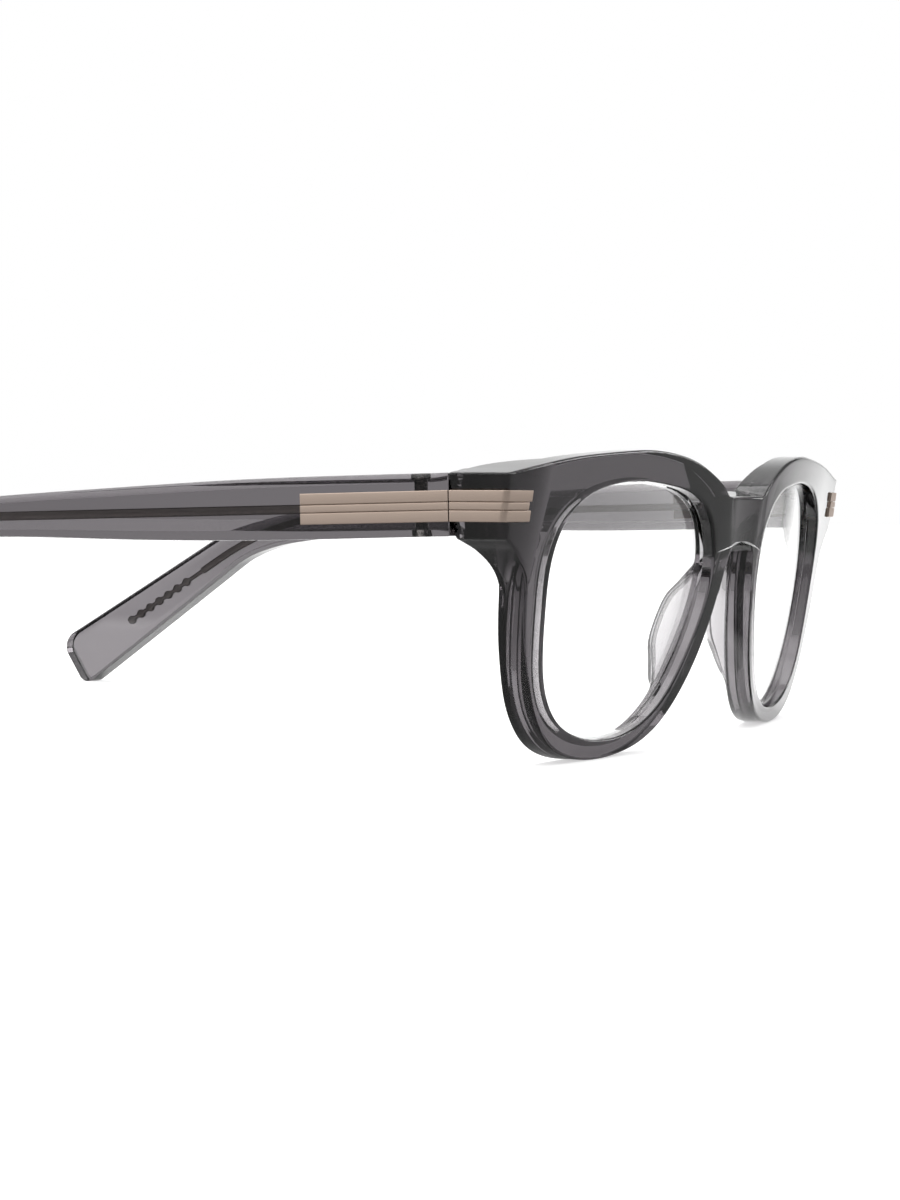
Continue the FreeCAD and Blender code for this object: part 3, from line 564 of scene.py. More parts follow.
# %% Outlines of the front
CORNER_WEAR = 0.4
OPENING_SHARES = [
    (0.04, 1.0), (0.46, 0.96), (0.70, 0.873), (0.903, 0.683), (0.998, 0.381), (0.993, 0.065), (0.962, -0.24),
    (0.885, -0.552), (0.727, -0.788), (0.497, -0.929), (0.10, -1.0), (-0.176, -0.965), (-0.384, -0.873),
    (-0.564, -0.726), (-0.718, -0.517), (-0.844, -0.274), (-0.957, 0.02), (-0.998, 0.364), (-0.894, 0.686),
    (-0.655, 0.884), (-0.32, 0.967)]
BROW_NOSE_SHARES = [(-0.945, 0.757), (-0.844, 0.818), (-0.739, 0.864), (-0.594, 0.918), (-0.291, 0.98),
                    (0.0, 1.0)]
BROW_END_SHARES = [(0.227, 0.986), (0.578, 0.943)]
UNDERARM_SHARES = [(0.80, 0.0), (0.665, 0.07), (0.52, 0.16), (0.38, 0.28), (0.21, 0.455), (0.10, 0.66)]
RIM_SIDE_SHARES = [
    (1.003, 0.09), (0.982, -0.05), (0.95, -0.209), (0.906, -0.371), (0.843, -0.553), (0.75, -0.72),
    (0.621, -0.86), (0.433, -0.957), (0.181, -1.0)]
RIM_NOSE_SHARES = [
    (-0.081, -0.981), (-0.295, -0.926), (-0.501, -0.811), (-0.695, -0.612), (-0.848, -0.371),
    (-0.933, -0.179), (-0.998, 0.011), (-1.05, 0.193), (-1.083, 0.30)]


def brow_line():
    """From the flat top of the bridge over the rim to the end piece's upper corner."""
    nose = RIM_CENTRE + np.array(BROW_NOSE_SHARES) * [HALF_NOSE, HALF_TOP]
    end = RIM_CENTRE + np.array(BROW_END_SHARES) * [CORNER_X - RIM_X, HALF_TOP]
    points = np.vstack([[(BRIDGE_FLAT, BRIDGE_TOP)], nose, end, [(CORNER_X, END_TOP)]])
    return smooth_curve(points, np.array([1.0, 0.0]), points[-1] - points[-2])


def rim_points(shares, half_x):
    """Points of the rim: its centre plus shares of its half size, which differs above and below."""
    shares = np.array(shares)
    half_z = np.where(shares[:, 1] > 0, HALF_TOP, HALF_BOTTOM)
    return np.stack([RIM_X + shares[:, 0] * half_x, RIM_Z + shares[:, 1] * half_z], -1)


def lower_line():
    """From the end piece's foot under the rim and up the nose, then the arch's arc up to its crown."""
    reach = CORNER_X - RIM_X - HALF_TEMPLE
    underarm = np.array([CORNER_X - reach, END_FOOT]) + np.array(UNDERARM_SHARES) * [reach, -reach]
    points = np.vstack([underarm, rim_points(RIM_SIDE_SHARES, HALF_TEMPLE),
                        rim_points(RIM_NOSE_SHARES, HALF_NOSE)])
    rising = (points[-1] - points[-2]) / np.linalg.norm(points[-1] - points[-2])
    radius = (ARCH_Z - points[-1, 1]) / (1 + rising[0])
    centre = points[-1] + radius * np.array([-rising[1], rising[0]])
    first = math.atan2(*(points[-1] - centre)[::-1])
    arch = arc_points(centre, radius, first, math.pi / 2)
    return np.vstack([smooth_curve(points, np.array([-1.0, 0.0]), rising)[:-1], arch])


OUTLINE = evenly(np.vstack([[(0.0, BRIDGE_TOP)], brow_line(), lower_line(), [(0.0, ARCH_Z)]]), FINE_STEP)
OUTLINE = worn(OUTLINE, CORNER_WEAR)
OPENING = evenly(smooth_curve(RIM_CENTRE + np.array(OPENING_SHARES) * HALF_OPENING, closed=True), FINE_STEP)
print("outline", run_of(OUTLINE)[-1].round(1), "mm, opening", run_of(OPENING)[-1].round(1), "mm")

# %% [markdown]
# The rim lies between the outline and the eye opening, so each point outside needs a partner inside.
# Partners could stand at equal shares of both curves, which twists the surface over the nose.
# The nearest point is better, as long as the partners never turn back.

# %% Partners on the opening
def opening_inward():
    """Unit normals of the opening, towards its middle."""
    run = np.roll(OPENING, -3, axis=0) - np.roll(OPENING, 3, axis=0)
    normal = np.stack([-run[:, 1], run[:, 0]], -1) / np.linalg.norm(run, axis=1)[:, None]
    return normal * np.sign((normal * (RIM_CENTRE - OPENING)).sum(1))[:, None]


OPENING_INWARD = opening_inward()


def matched_on_opening(points):
    """Place on the opening nearest to each point of a loop, kept from ever turning back, and its normal."""
    index = ((points[:, None] - OPENING[None]) ** 2).sum(-1).argmin(1)
    count = len(OPENING)
    steps = (np.diff(index) + count // 2) % count - count // 2
    climb = np.maximum.accumulate(np.concatenate([[0], np.cumsum(steps)]))
    index = (index[0] + np.minimum(climb, count - 1)) % count
    return OPENING[index], OPENING_INWARD[index]


rim_width = np.linalg.norm(OUTLINE[::40] - matched_on_opening(OUTLINE[::40])[0], axis=1)
print("the rim is from", rim_width.min().round(2), "mm wide")

# %% [markdown]
# A lens is a slice between two balls. Its edge is ground to a V, which snaps into a V groove in the rim.
# The groove could be cut out of the rim with a boolean. As rows of the opening's wall it needs no cut,
# and it follows the lens, because both are worked out from the same two balls.

# %% Lens surfaces and groove
LENS_THICKNESS, LENS_BITE, LENS_SET_BACK, LENS_RADIUS, LENS_GAP = 1.5, 0.7, 0.45, 180.0, 0.04
GROOVE_SHARES = (0.1, 0.9, 1.0)


def lens_centre():
    """The front ball touches the plate at the eye's middle, set back a little and square to the face there."""
    turn = NOSE_TURN + (RIM_X - NOSE_HALF) / FACE_RADIUS
    depth = NOSE_RADIUS * (1 - math.cos(NOSE_TURN)) + (RIM_X - NOSE_HALF) * math.tan((NOSE_TURN + turn) / 2)
    x = RIM_X - (LENS_SET_BACK + LENS_RADIUS) * math.sin(turn)
    depth += (LENS_SET_BACK + LENS_RADIUS) * math.cos(turn)
    return np.array([x, depth * math.cos(LEAN), RIM_Z + depth * math.sin(LEAN)])


LENS_CENTRE = lens_centre()


def lens_y(flat, behind=0.0):
    """Y of a ball's near side: centre - sqrt(radius ** 2 - distance from its axis ** 2)."""
    radius = LENS_RADIUS - behind
    off = flat - LENS_CENTRE[[0, 2]]
    return LENS_CENTRE[1] - np.sqrt(radius ** 2 - (off ** 2).sum(1))


def groove_wall(edge, out, first, last):
    """Wall of the eye opening: flat, the V of the lens groove, flat again."""
    front, back = lens_y(edge) - LENS_GAP, lens_y(edge, LENS_THICKNESS) + LENS_GAP
    bottom = edge - out * (LENS_BITE + LENS_GAP)
    rows = [np.column_stack([edge, first + (front - first) * share]) for share in GROOVE_SHARES]
    rows += [np.column_stack([edge * (1 - share) + bottom * share, front + (back - front) * share / 2])
             for share in GROOVE_SHARES]
    rows += [np.column_stack([edge * share + bottom * (1 - share),
                              (front + back) / 2 + (back - front) * share / 2]) for share in GROOVE_SHARES]
    return rows + [np.column_stack([edge, back + (last - back) * share]) for share in (0.1, 0.5, 0.9, 1.0)]


print("each lens ball has its middle at", LENS_CENTRE.round(1), "mm")

# %% [markdown]
# The outer side of each end piece is milled to the splay of its temple, so that the two run on in one plane,
# and the top of the bridge rises a little to the back.
# Both could be sculpted afterwards. As two small moves of the finished grid they stay exact.
# Only the left half is made. Its mirror image is joined to it, which keeps the glasses symmetrical.

# %% Front
ARCH_ROUND, ARCH_MARGIN, END_MARGIN = 0.12, 1.0, 1.5
SPLAY_START, SPLAY_RUN = 5.0, 4.4
BRIDGE_RISE, BRIDGE_FADE, FADE_RUN, RISE_START, RISE_RUN = 0.8, 9.5, 4.0, 2.0, 4.0
FRONT_STATIONS, MIRROR_COLUMNS, NEAR_ROWS, FAR_ROWS = 440, 20, 13, 45


def lean_out(points):
    """The end piece's outer side is splayed like the temple: it moves out with the depth behind the face."""
    share = soft_step(np.clip((points[..., 0] - (CORNER_X - SPLAY_START)) / SPLAY_RUN, 0, 1))
    behind = points[..., 1] - (SPLIT_BACK - CORNER_FORWARD)
    points[..., 0] += share * behind * math.tan(SPLAY)
    return points


def raise_bridge(points):
    """The bridge's top rises to the back: by BRIDGE_RISE over the thickness, fading towards the rims."""
    share = soft_step(np.clip((BRIDGE_FADE - np.abs(points[..., 0])) / FADE_RUN, 0, 1))
    share = share * np.clip((points[..., 2] - ARCH_Z - RISE_START) / RISE_RUN, 0, 1)
    behind = points[..., 1] - front_face(points.reshape(-1, 3)[:, [0, 2]]).reshape(share.shape)
    points[..., 2] += BRIDGE_RISE * share * np.clip(behind / RIM_THICKNESS, 0, 1)
    return points


def front_piece():
    """Slab between the outline and the eye opening, joined to its mirror image down the middle."""
    a, a_out = stations(OUTLINE, FRONT_STATIONS)
    on_arch = (a[:, 0] < BRIDGE_FLAT) & (a[:, 1] < ARCH_Z + ARCH_MARGIN)
    a_round = np.minimum(fitting_round(a, EDGE_ROUND), np.where(on_arch, ARCH_ROUND, EDGE_ROUND))
    middle = np.linspace(ARCH_Z + EDGE_ROUND, BRIDGE_TOP - EDGE_ROUND, MIRROR_COLUMNS)
    a = np.vstack([a, np.column_stack([np.zeros(MIRROR_COLUMNS), middle])])
    a_out = np.vstack([a_out, np.zeros((MIRROR_COLUMNS, 2))])
    a_round = np.concatenate([a_round, np.full(MIRROR_COLUMNS, EDGE_ROUND)])
    far_round = np.where(a[:, 0] > CORNER_X - END_MARGIN, np.minimum(END_ROUND, a_round), a_round)
    b, b_out = matched_on_opening(a)
    even = np.linspace(0, 1, NEAR_ROWS)
    crowded = (1 - np.cos(np.linspace(0, math.pi, FAR_ROWS))) / 2
    rows, wall_start = slab_grid(a, a_out, b, b_out, front_face, back_face,
                                 (a_round, far_round, EDGE_ROUND, EDGE_ROUND), even, crowded,
                                 plain_wall, groove_wall)
    points = raise_bridge(lean_out(rows[..., [0, 2, 1]]))

    def on_mirror(r, c):
        """Where the mirror image is joined on, the outer wall is left open."""
        return (c >= FRONT_STATIONS - 1) & (r >= wall_start - 1)

    faces = grid_faces(points.shape[0], points.shape[1], True, True, on_mirror)
    return make_piece("front_finish", points, faces, acetate, "front",
                      ("front_frame",), both=True)


front = front_piece()

# %% [markdown]
# Each nose pad is a D-shaped piece of paler acetate, glued behind the rim's nose side and polished.
# It rises from nothing at its top, swells where it rests on the nose, and fades out at its foot.
# It could be sculpted from a ball. Built on the rim's own lines it sits flush on the back of the rim,
# however that is bent.

# %% Nose pads
PAD_HEIGHT, PAD_TOP, PAD_FOOT, PAD_FLARE, PAD_MARGIN, GLUE = 4.0, 27.8, 5.4, 1.2, 0.3, 0.02
PAD_SHARES = [(0.0, 0.0), (0.08, 0.22), (0.22, 0.68), (0.38, 0.98), (0.52, 1.0), (0.70, 0.74), (0.86, 0.32),
              (1.0, 0.0)]
PAD_RISE = smooth_curve(PAD_SHARES, np.array([1.0, 1.5]), np.array([1.0, -0.6]))
PAD_STATIONS, PAD_ROWS, PAD_BULGE, PAD_FLATNESS, NOSE_SIDE = 560, 41, 2.4, 1 / 2.2, 6.0


def pad_piece(side, mirror):
    """Across the rim its height is a squared oval: (1 - abs(2 * place - 1) ** bulge) ** flatness."""
    edge = stations(OUTLINE, PAD_STATIONS)[0]
    rim = matched_on_opening(edge)[0]
    chosen = (edge[:, 0] < RIM_X - NOSE_SIDE) & (edge[:, 1] > PAD_FOOT) & (edge[:, 1] < PAD_TOP)
    edge, rim = edge[chosen], rim[chosen]
    width = np.linalg.norm(rim - edge, axis=1)[:, None]
    start = edge + (rim - edge) * PAD_MARGIN / width
    stop = rim + (edge - rim) * PAD_MARGIN / width
    down = (PAD_TOP - edge[:, 1]) / (PAD_TOP - PAD_FOOT)
    down = (down - down.min()) / (down.max() - down.min())
    height = PAD_HEIGHT * np.interp(down, PAD_RISE[:, 0], PAD_RISE[:, 1])
    height[[0, -1]] = 0
    places = (1 - np.cos(np.linspace(0, math.pi, PAD_ROWS))) / 2
    section = np.maximum(1 - np.abs(2 * places - 1) ** PAD_BULGE, 0) ** PAD_FLATNESS
    crown, base = [], []
    for place, bend in zip(places, section):
        flat = start * (1 - place) + stop * place
        depth = plate_y(flat[:, 0], flat[:, 1], RIM_THICKNESS) + GLUE
        rise = height * bend
        crown.append(np.column_stack([flat[:, 0] + PAD_FLARE * rise / PAD_HEIGHT, depth + rise, flat[:, 1]]))
        base.append(np.column_stack([flat[:, 0], depth, flat[:, 1]]))
    points = np.array(crown + base[::-1])
    faces = grid_faces(points.shape[0], points.shape[1], True, False)
    return make_piece("nose_pad_finish_" + side, points, faces, pad_acetate, "front",
                      ("nose_pad_" + side,), mirror=mirror)


for side, mirror in SIDES:
    pad_piece(side, mirror)

# %% [markdown]
# The demo lenses are thin clear shells with their V edge in the groove.
# They could be two planes with a glass material. With their real thickness and curve they bend
# and mirror the light as the real ones do.

# %% Lenses
LENS_STATIONS, LENS_RINGS, LENS_START = 301, 26, 0.002
V_SHARES = (0.08, 0.92, 1.0, 0.92, 0.08)


def lens_piece(side, mirror):
    """Rings from the middle of the front ball out to the V's crest and back in on the other ball."""
    edge = stations(np.vstack([OPENING, OPENING[:1]]), LENS_STATIONS)[0][:-1]
    outward = -matched_on_opening(edge)[1]
    rings = []
    scales = np.linspace(LENS_START, 1, LENS_RINGS)
    for scale in scales:
        flat = RIM_CENTRE + (edge - RIM_CENTRE) * scale
        rings.append(np.column_stack([flat, lens_y(flat)])[:, [0, 2, 1]])
    for number, share in enumerate(V_SHARES):
        flat = edge + outward * LENS_BITE * share
        level = share / 2 if number < 3 else 1 - share / 2
        depth = lens_y(edge) * (1 - level) + lens_y(edge, LENS_THICKNESS) * level
        rings.append(np.column_stack([flat, depth])[:, [0, 2, 1]])
    for scale in scales[::-1]:
        flat = RIM_CENTRE + (edge - RIM_CENTRE) * scale
        rings.append(np.column_stack([flat, lens_y(flat, LENS_THICKNESS)])[:, [0, 2, 1]])
    for ring in (0, -1):
        rings[ring][:] = rings[ring].mean(0)
    faces = grid_faces(len(rings), len(edge), False, True)
    return make_piece("lens_finish_" + side, rings, faces, lens_glass, "front", ("lens_" + side,),
                      mirror=mirror)


for side, mirror in SIDES:
    lens_piece(side, mirror)

# %% [markdown]
# A temple is milled from the same kind of sheet: a straight arm that narrows, drops behind the ear
# and widens at its tip. It is bowed a little inwards, so that it holds the head.
# It could be a box that is bent and scaled. As a slab between its top and its bottom edge,
# it keeps one thickness while its outline is free.

# %% Temple outline
TEMPLE_REACH, TEMPLE_THICKNESS, TEMPLE_TOP, TEMPLE_FOOT, BOW_RADIUS = 146.3, 4.0, 4.25, 3.9, 1130.0
TOE_RADIUS, HEEL_RADIUS, HEEL_SHARE, TOE_SHARES = 3.2, 2.0, 0.9593, (0.968, 0.785)
TEMPLE_WEAR = 0.3
TIP_DROP = (HINGE_HEIGHT - HEEL_SHARE * TEMPLE_REACH * math.sin(SLOPE)) / math.cos(SLOPE)
TEMPLE_TOP_SHARES = [(0.205, 0.965, 0.0), (0.342, 0.82, 0.0), (0.444, 0.69, 0.0), (0.547, 0.5, 0.0),
                     (0.636, 0.2, 0.0), (0.711, 0.0, 0.042), (0.775, 0.0, 0.15)]
TEMPLE_FOOT_SHARES = [(0.738, 0.0, 0.292), (0.695, 0.0, 0.202), (0.666, 0.0, 0.171), (0.636, 0.0, 0.153),
                      (0.547, 0.82, 0.0), (0.444, 0.745, 0.0), (0.342, 0.885, 0.0), (0.205, 1.01, 0.0)]


def temple_points(shares, height, up=1):
    """Points of an edge: shares of the reach, of the edge's height and of the drop of the tip."""
    shares = np.array(shares)
    return np.stack([shares[:, 0] * TEMPLE_REACH, up * shares[:, 1] * height - shares[:, 2] * TIP_DROP], -1)


def tangent_run(start, start_radius, end, end_radius):
    """Straight run that touches two circles on its left, and its normal."""
    run = end - start
    share = (start_radius - end_radius) / np.linalg.norm(run)
    run = run / np.linalg.norm(run)
    normal = run * share + np.array([-run[1], run[0]]) * math.sqrt(1 - share ** 2)
    return start + normal * start_radius, end + normal * end_radius, normal


def temple_edges():
    """Top and bottom edge of the arm, both from the middle of its front end to the middle of its tip."""
    toe = np.array([TOE_SHARES[0] * TEMPLE_REACH, -TOE_SHARES[1] * TIP_DROP])
    heel = np.array([HEEL_SHARE * TEMPLE_REACH, HEEL_RADIUS / math.cos(SLOPE) - TIP_DROP])
    top = np.vstack([[(SPLIT_GAP / 2, TEMPLE_TOP)], temple_points(TEMPLE_TOP_SHARES, TEMPLE_TOP)])
    foot = np.vstack([temple_points(TEMPLE_FOOT_SHARES, TEMPLE_FOOT, -1), [(SPLIT_GAP / 2, -TEMPLE_FOOT)]])
    down_start, down_end, down_out = tangent_run(top[-1], 0, toe, TOE_RADIUS)
    end_start, end_end, end_out = tangent_run(toe, TOE_RADIUS, heel, HEEL_RADIUS)
    up_start, up_end, up_out = tangent_run(heel, HEEL_RADIUS, foot[0], 0)
    level = np.array([1.0, 0.0])
    turns = np.unwrap([math.atan2(way[1], way[0]) for way in (down_out, end_out, up_out)])
    middle = (end_start + end_end) / 2
    front_middle = np.array([[SPLIT_GAP / 2, 0.0]])
    upper = np.vstack([front_middle, smooth_curve(top, level, down_end - down_start),
                       arc_points(toe, TOE_RADIUS, turns[0], turns[1]), [middle]])
    lower = np.vstack([[middle], arc_points(heel, HEEL_RADIUS, turns[1], turns[2]),
                       smooth_curve(foot, up_end - up_start, -level), front_middle])
    return worn(evenly(upper, FINE_STEP), TEMPLE_WEAR), worn(evenly(lower[::-1], FINE_STEP), TEMPLE_WEAR)


def bow(back):
    """How far the bowed outer face has come in: BOW_RADIUS - sqrt(BOW_RADIUS**2 - back**2)."""
    return BOW_RADIUS - np.sqrt(BOW_RADIUS ** 2 - back ** 2)


print("the tip drops by", round(TIP_DROP, 1), "mm and comes in by", round(float(bow(TEMPLE_REACH)), 1), "mm")

# %% [markdown]
# Before the hinge is fitted, the arm's front end is milled: a slot for the knuckle, a rounded inner corner
# that clears the end piece as the temple folds, and a hole above and below for the screw's ends.
# These cuts cross the grid of the arm, so this is the one place where a boolean is the better way.

# %% Hinge room
KNUCKLE_ROOM, TONGUE_ROOM, SLOT_HALF = 1.58, 0.93, 1.94
SCREW_SINK, SCREW_HEAD_RADIUS, HOLE_CORNERS, BEYOND = 0.12, 1.37, 48, 5.0


def prism(name, loop, low, high, mirror):
    """Closed prism of a plan loop in the temple's frame, used only to cut."""
    loop = np.asarray(loop)
    count = len(loop)
    points = np.vstack([side_point(loop[:, 0], loop[:, 1], level) for level in (low, high)])
    points = (points + SEAT) * MM * ([-1, 1, 1] if mirror else [1, 1, 1])
    faces = [[i, (i + 1) % count, (i + 1) % count + count, i + count] for i in range(count)]
    faces += [list(range(count))[::-1], list(range(count, 2 * count))]
    return new_object(name, closed_mesh(name, points, faces)[0])


def cut_away(piece, cutters):
    """Exact booleans, kept in the piece's own mesh."""
    for cutter in cutters:
        modifier = piece.modifiers.new(cutter.name, "BOOLEAN")
        modifier.operation = "DIFFERENCE"
        modifier.solver = "EXACT"
        modifier.object = cutter
    graph = bpy.context.evaluated_depsgraph_get()
    mesh = bpy.data.meshes.new_from_object(piece.evaluated_get(graph))
    piece.modifiers.clear()
    mesh.set_sharp_from_angle(angle=math.radians(SHARP_ANGLE))
    piece.data = mesh
    for cutter in cutters:
        bpy.data.objects.remove(cutter)


def hinge_room(mirror):
    """Cutters of the milled corner, the slot and the two holes, all set out from the pin's middle."""
    pin = np.array([-PIN_INSET, PIN_BACK])
    far = -TEMPLE_THICKNESS - BEYOND
    round_end = arc_points(pin, PIN_BACK - SPLIT_GAP / 2, -math.pi / 2, -math.pi)
    corner = np.vstack([round_end, [(far, PIN_BACK), (far, -BEYOND), (-PIN_INSET, -BEYOND)]])
    meet = -math.acos(TONGUE_ROOM / KNUCKLE_ROOM)
    knuckle = arc_points(pin, KNUCKLE_ROOM, meet, math.pi / 2)
    slot = np.vstack([[(far, -BEYOND), (-PIN_INSET + TONGUE_ROOM, -BEYOND)], knuckle,
                      [(far, PIN_BACK + KNUCKLE_ROOM)]])
    hole = arc_points(pin, SCREW_HEAD_RADIUS, 0, 2 * math.pi, HOLE_CORNERS + 1)[:-1]
    return [prism("corner", corner, -END_HEIGHT, END_HEIGHT, mirror),
            prism("slot", slot, -SLOT_HALF, SLOT_HALF, mirror),
            prism("head_hole", hole, TEMPLE_TOP - SCREW_SINK, END_HEIGHT, mirror),
            prism("foot_hole", hole, -END_HEIGHT, -TEMPLE_FOOT + SCREW_SINK, mirror)]


print("the slot is", 2 * SLOT_HALF, "mm high, the folding corner", PIN_BACK - SPLIT_GAP / 2, "mm in radius")

# %% [markdown]
# Both arms come from one function, and the right one is the left one mirrored.
# Their long edges are well rounded by the tumbling, but at the split the edge stays crisp,
# so that temple and end piece meet in a thin line. The radius grows from the one to the other.

# %% Temples
TEMPLE_ROUND, ROUND_GROWS = 0.45, (0.3, 2.0)
TEMPLE_STATIONS, TEMPLE_ROWS = 420, 9


def outer_face(flat):
    """Depth of the bowed outer side."""
    return bow(flat[:, 0])


def inner_face(flat):
    """Depth of the inner side: one thickness behind the outer."""
    return bow(flat[:, 0]) + TEMPLE_THICKNESS


def temple_piece(side, mirror):
    """Slab between its top and bottom edge, set into the glasses and cut for the hinge."""
    upper, lower = temple_edges()
    a, a_out = stations(upper, TEMPLE_STATIONS)
    b, b_left = stations(lower, TEMPLE_STATIONS)
    even = np.linspace(0, 1, TEMPLE_ROWS)
    a_round, b_round = (np.interp(edge[:, 0], ROUND_GROWS, [END_ROUND, TEMPLE_ROUND]) for edge in (a, b))
    rows, _ = slab_grid(a, a_out, b, -b_left, outer_face, inner_face, (a_round, a_round, b_round, b_round),
                        even, even, plain_wall, plain_wall)
    points = side_point(-rows[..., 2], rows[..., 0], rows[..., 1])
    faces = grid_faces(points.shape[0], points.shape[1], True, False)
    arm = make_piece("temple_finish_" + side, points, faces, arm_acetate, "temple_" + side,
                     ("temple_" + side,), mirror=mirror)
    cut_away(arm, hinge_room(mirror))
    return arm


for side, mirror in SIDES:
    temple_piece(side, mirror)

# %% [markdown]
# A flat core wire stiffens each temple. It is drawn, bent once for the ear, and rolled into beads near
# its end so that it can't slip, and it is shot into the acetate while that is warm.
# A Blender curve with a bevel could draw it, but its section changes from strip to beads,
# so its half height is worked out point by point along the path.

# %% Core wire
WIRE_HEIGHT, WIRE_WIDTH, WIRE_DEPTH, WIRE_START, WIRE_BEND_RADIUS = 1.25, 1.1, 2.05, 8.2, 55.0
WIRE_BEND_SHARE, WIRE_END_SHARES, WIRE_TAIL = 0.677, (0.896, 0.621), 4.1
BEAD_COUNT, BEAD_PITCH, BEAD_RADIUS, NECK_HEIGHT = 7, 2.3, 0.8, 0.7
WIRE_SIDES, WIRE_SQUARENESS = 16, 0.35


def wire_path():
    """Straight to the bend, an arc that touches both runs, straight down to the last bead."""
    start = np.array([WIRE_START, 0.0])
    bend = np.array([WIRE_BEND_SHARE * TEMPLE_REACH, 0.0])
    end = np.array([WIRE_END_SHARES[0] * TEMPLE_REACH, -WIRE_END_SHARES[1] * TIP_DROP])
    down = (end - bend) / np.linalg.norm(end - bend)
    turn = math.acos(down[0])
    inset = WIRE_BEND_RADIUS * math.tan(turn / 2)
    centre = bend - [inset, WIRE_BEND_RADIUS]
    arc = arc_points(centre, WIRE_BEND_RADIUS, math.pi / 2, math.pi / 2 - turn)
    return evenly(np.vstack([[start], arc, [end + down * BEAD_RADIUS]]), COARSE_STEP)


def wire_half_height(path):
    """Half the strip's height, then the neck's with its balls: sqrt(radius ** 2 - way to the bead ** 2)."""
    run = run_of(path)
    to_end = run[-1] - BEAD_RADIUS - run
    nearest_bead = np.clip(np.round(to_end / BEAD_PITCH), 0, BEAD_COUNT - 1) * BEAD_PITCH
    bead = np.sqrt(np.maximum(BEAD_RADIUS ** 2 - (to_end - nearest_bead) ** 2, 0))
    half = np.maximum(np.where(to_end > 0, NECK_HEIGHT / 2, 0), bead)
    strip_end = WIRE_TAIL + BEAD_PITCH * (BEAD_COUNT - 1)
    half = np.where(to_end > strip_end, WIRE_HEIGHT / 2, half)
    half[[0, -1]] = 0
    return half


def wire_piece(side, mirror):
    """A squared oval carried along the path: cosine and sine, each raised to the squareness."""
    path = wire_path()
    half = wire_half_height(path)
    slope = turn_of(path)
    up = np.stack([-np.sin(slope), np.cos(slope)], -1)
    rows = []
    for angle in np.linspace(0, 2 * math.pi, WIRE_SIDES + 1)[:-1]:
        high = np.sign(math.sin(angle)) * abs(math.sin(angle)) ** WIRE_SQUARENESS
        wide = np.sign(math.cos(angle)) * abs(math.cos(angle)) ** WIRE_SQUARENESS
        flat = path + up * (half * high)[:, None]
        depth = bow(flat[:, 0]) + WIRE_DEPTH + wide * WIRE_WIDTH / 2 * (half > 0)
        rows.append(side_point(-depth, flat[:, 0], flat[:, 1]))
    points = np.array(rows)
    faces = grid_faces(points.shape[0], points.shape[1], True, False)
    return make_piece("core_wire_finish_" + side, points, faces, wire_metal, "temple_" + side,
                      ("core_wire_" + side,), mirror=mirror, sharp=WIRE_SHARP_ANGLE)


for side, mirror in SIDES:
    wire_piece(side, mirror)

# %% [markdown]
# Each trim is a base plate with three bars, stamped in brass and let into the acetate.
# The temple's trim follows the bowed arm, and the front's goes round the end piece's corner in one bend.
# Plain boxes could be laid on the sides. Here one profile of a bar is carried along each path,
# so that the bars follow the bow and the bend and keep their rounded edges.

# %% Paths and profiles of the trims
TRIM_HALF, TRIM_BAR, TRIM_GROOVE, TRIM_PROUD, TRIM_INLAY = 2.03, 1.47, 0.07, 0.35, 0.6
TEMPLE_TRIM_LENGTH, FRONT_TRIM_FOLD, CENTRE_BAR_SHORT = 21.0, 5.5, 0.5
BAR_ROUND, BAR_ROUND_POINTS, PLATE_TOP, PLATE_ROUND = 0.13, 6, -0.05, 0.02
CORNER_ROUND, CORNER_TRIES, SIDE_STATIONS, ARC_STATIONS, FACE_STATIONS = 0.6, 6, 11, 13, 13
ARM_BACKS = np.concatenate([[SPLIT_GAP / 2, 0.2], np.linspace(0.6, TEMPLE_TRIM_LENGTH - 0.1, 40),
                            [TEMPLE_TRIM_LENGTH]])


def arm_path(height, proud):
    """Along the bowed outer side of the arm at one level."""
    return side_point(proud - bow(ARM_BACKS), ARM_BACKS, height)


def corner_path(height, proud, fold):
    """Round the corner at one level: along the side to an arc that touches side and face, then the fold."""
    split = side_point(0.0, -SPLIT_GAP / 2, height)
    z = split[2]
    side_way = np.array([-math.sin(SPLAY), -math.cos(SPLAY)])
    x = CORNER_X
    for _ in range(CORNER_TRIES):
        x = split[0] + (plate_y(x, z) - split[1]) * math.tan(SPLAY)
    corner = np.array([x, float(plate_y(x, z))])
    inner_x = CORNER_X - fold
    inner = np.array([inner_x, float(plate_y(inner_x, z))])
    front_way = (inner - corner) / np.linalg.norm(inner - corner)
    half_turn = math.acos(side_way @ front_way) / 2
    inset = CORNER_ROUND * math.tan(half_turn)
    first, last = corner - side_way * inset, corner + front_way * inset
    side_out, front_out = np.array([-side_way[1], side_way[0]]), np.array([-front_way[1], front_way[0]])
    centre = first - side_out * CORNER_ROUND
    first_turn, last_turn = math.atan2(side_out[1], side_out[0]), math.atan2(front_out[1], front_out[0])
    arc = arc_points(centre, CORNER_ROUND, first_turn, last_turn, ARC_STATIONS)
    path = np.vstack([np.linspace(split[:2], first, SIDE_STATIONS + 1)[:-1], arc,
                      np.linspace(last, inner, FACE_STATIONS + 1)[1:]])
    out = np.vstack([np.tile(side_out, (SIDE_STATIONS, 1)),
                     arc_points(np.zeros(2), 1, first_turn, last_turn, ARC_STATIONS),
                     np.tile(front_out, (FACE_STATIONS, 1))])
    flat = path + out * proud
    return np.column_stack([flat, np.full(len(flat), z)])


def plate_path(height, proud):
    """Fold of the front's plate and its two outer bars."""
    return corner_path(height, proud, FRONT_TRIM_FOLD)


def centre_path(height, proud):
    """Fold of the front's centre bar, which ends a little sooner."""
    return corner_path(height, proud, FRONT_TRIM_FOLD - CENTRE_BAR_SHORT)


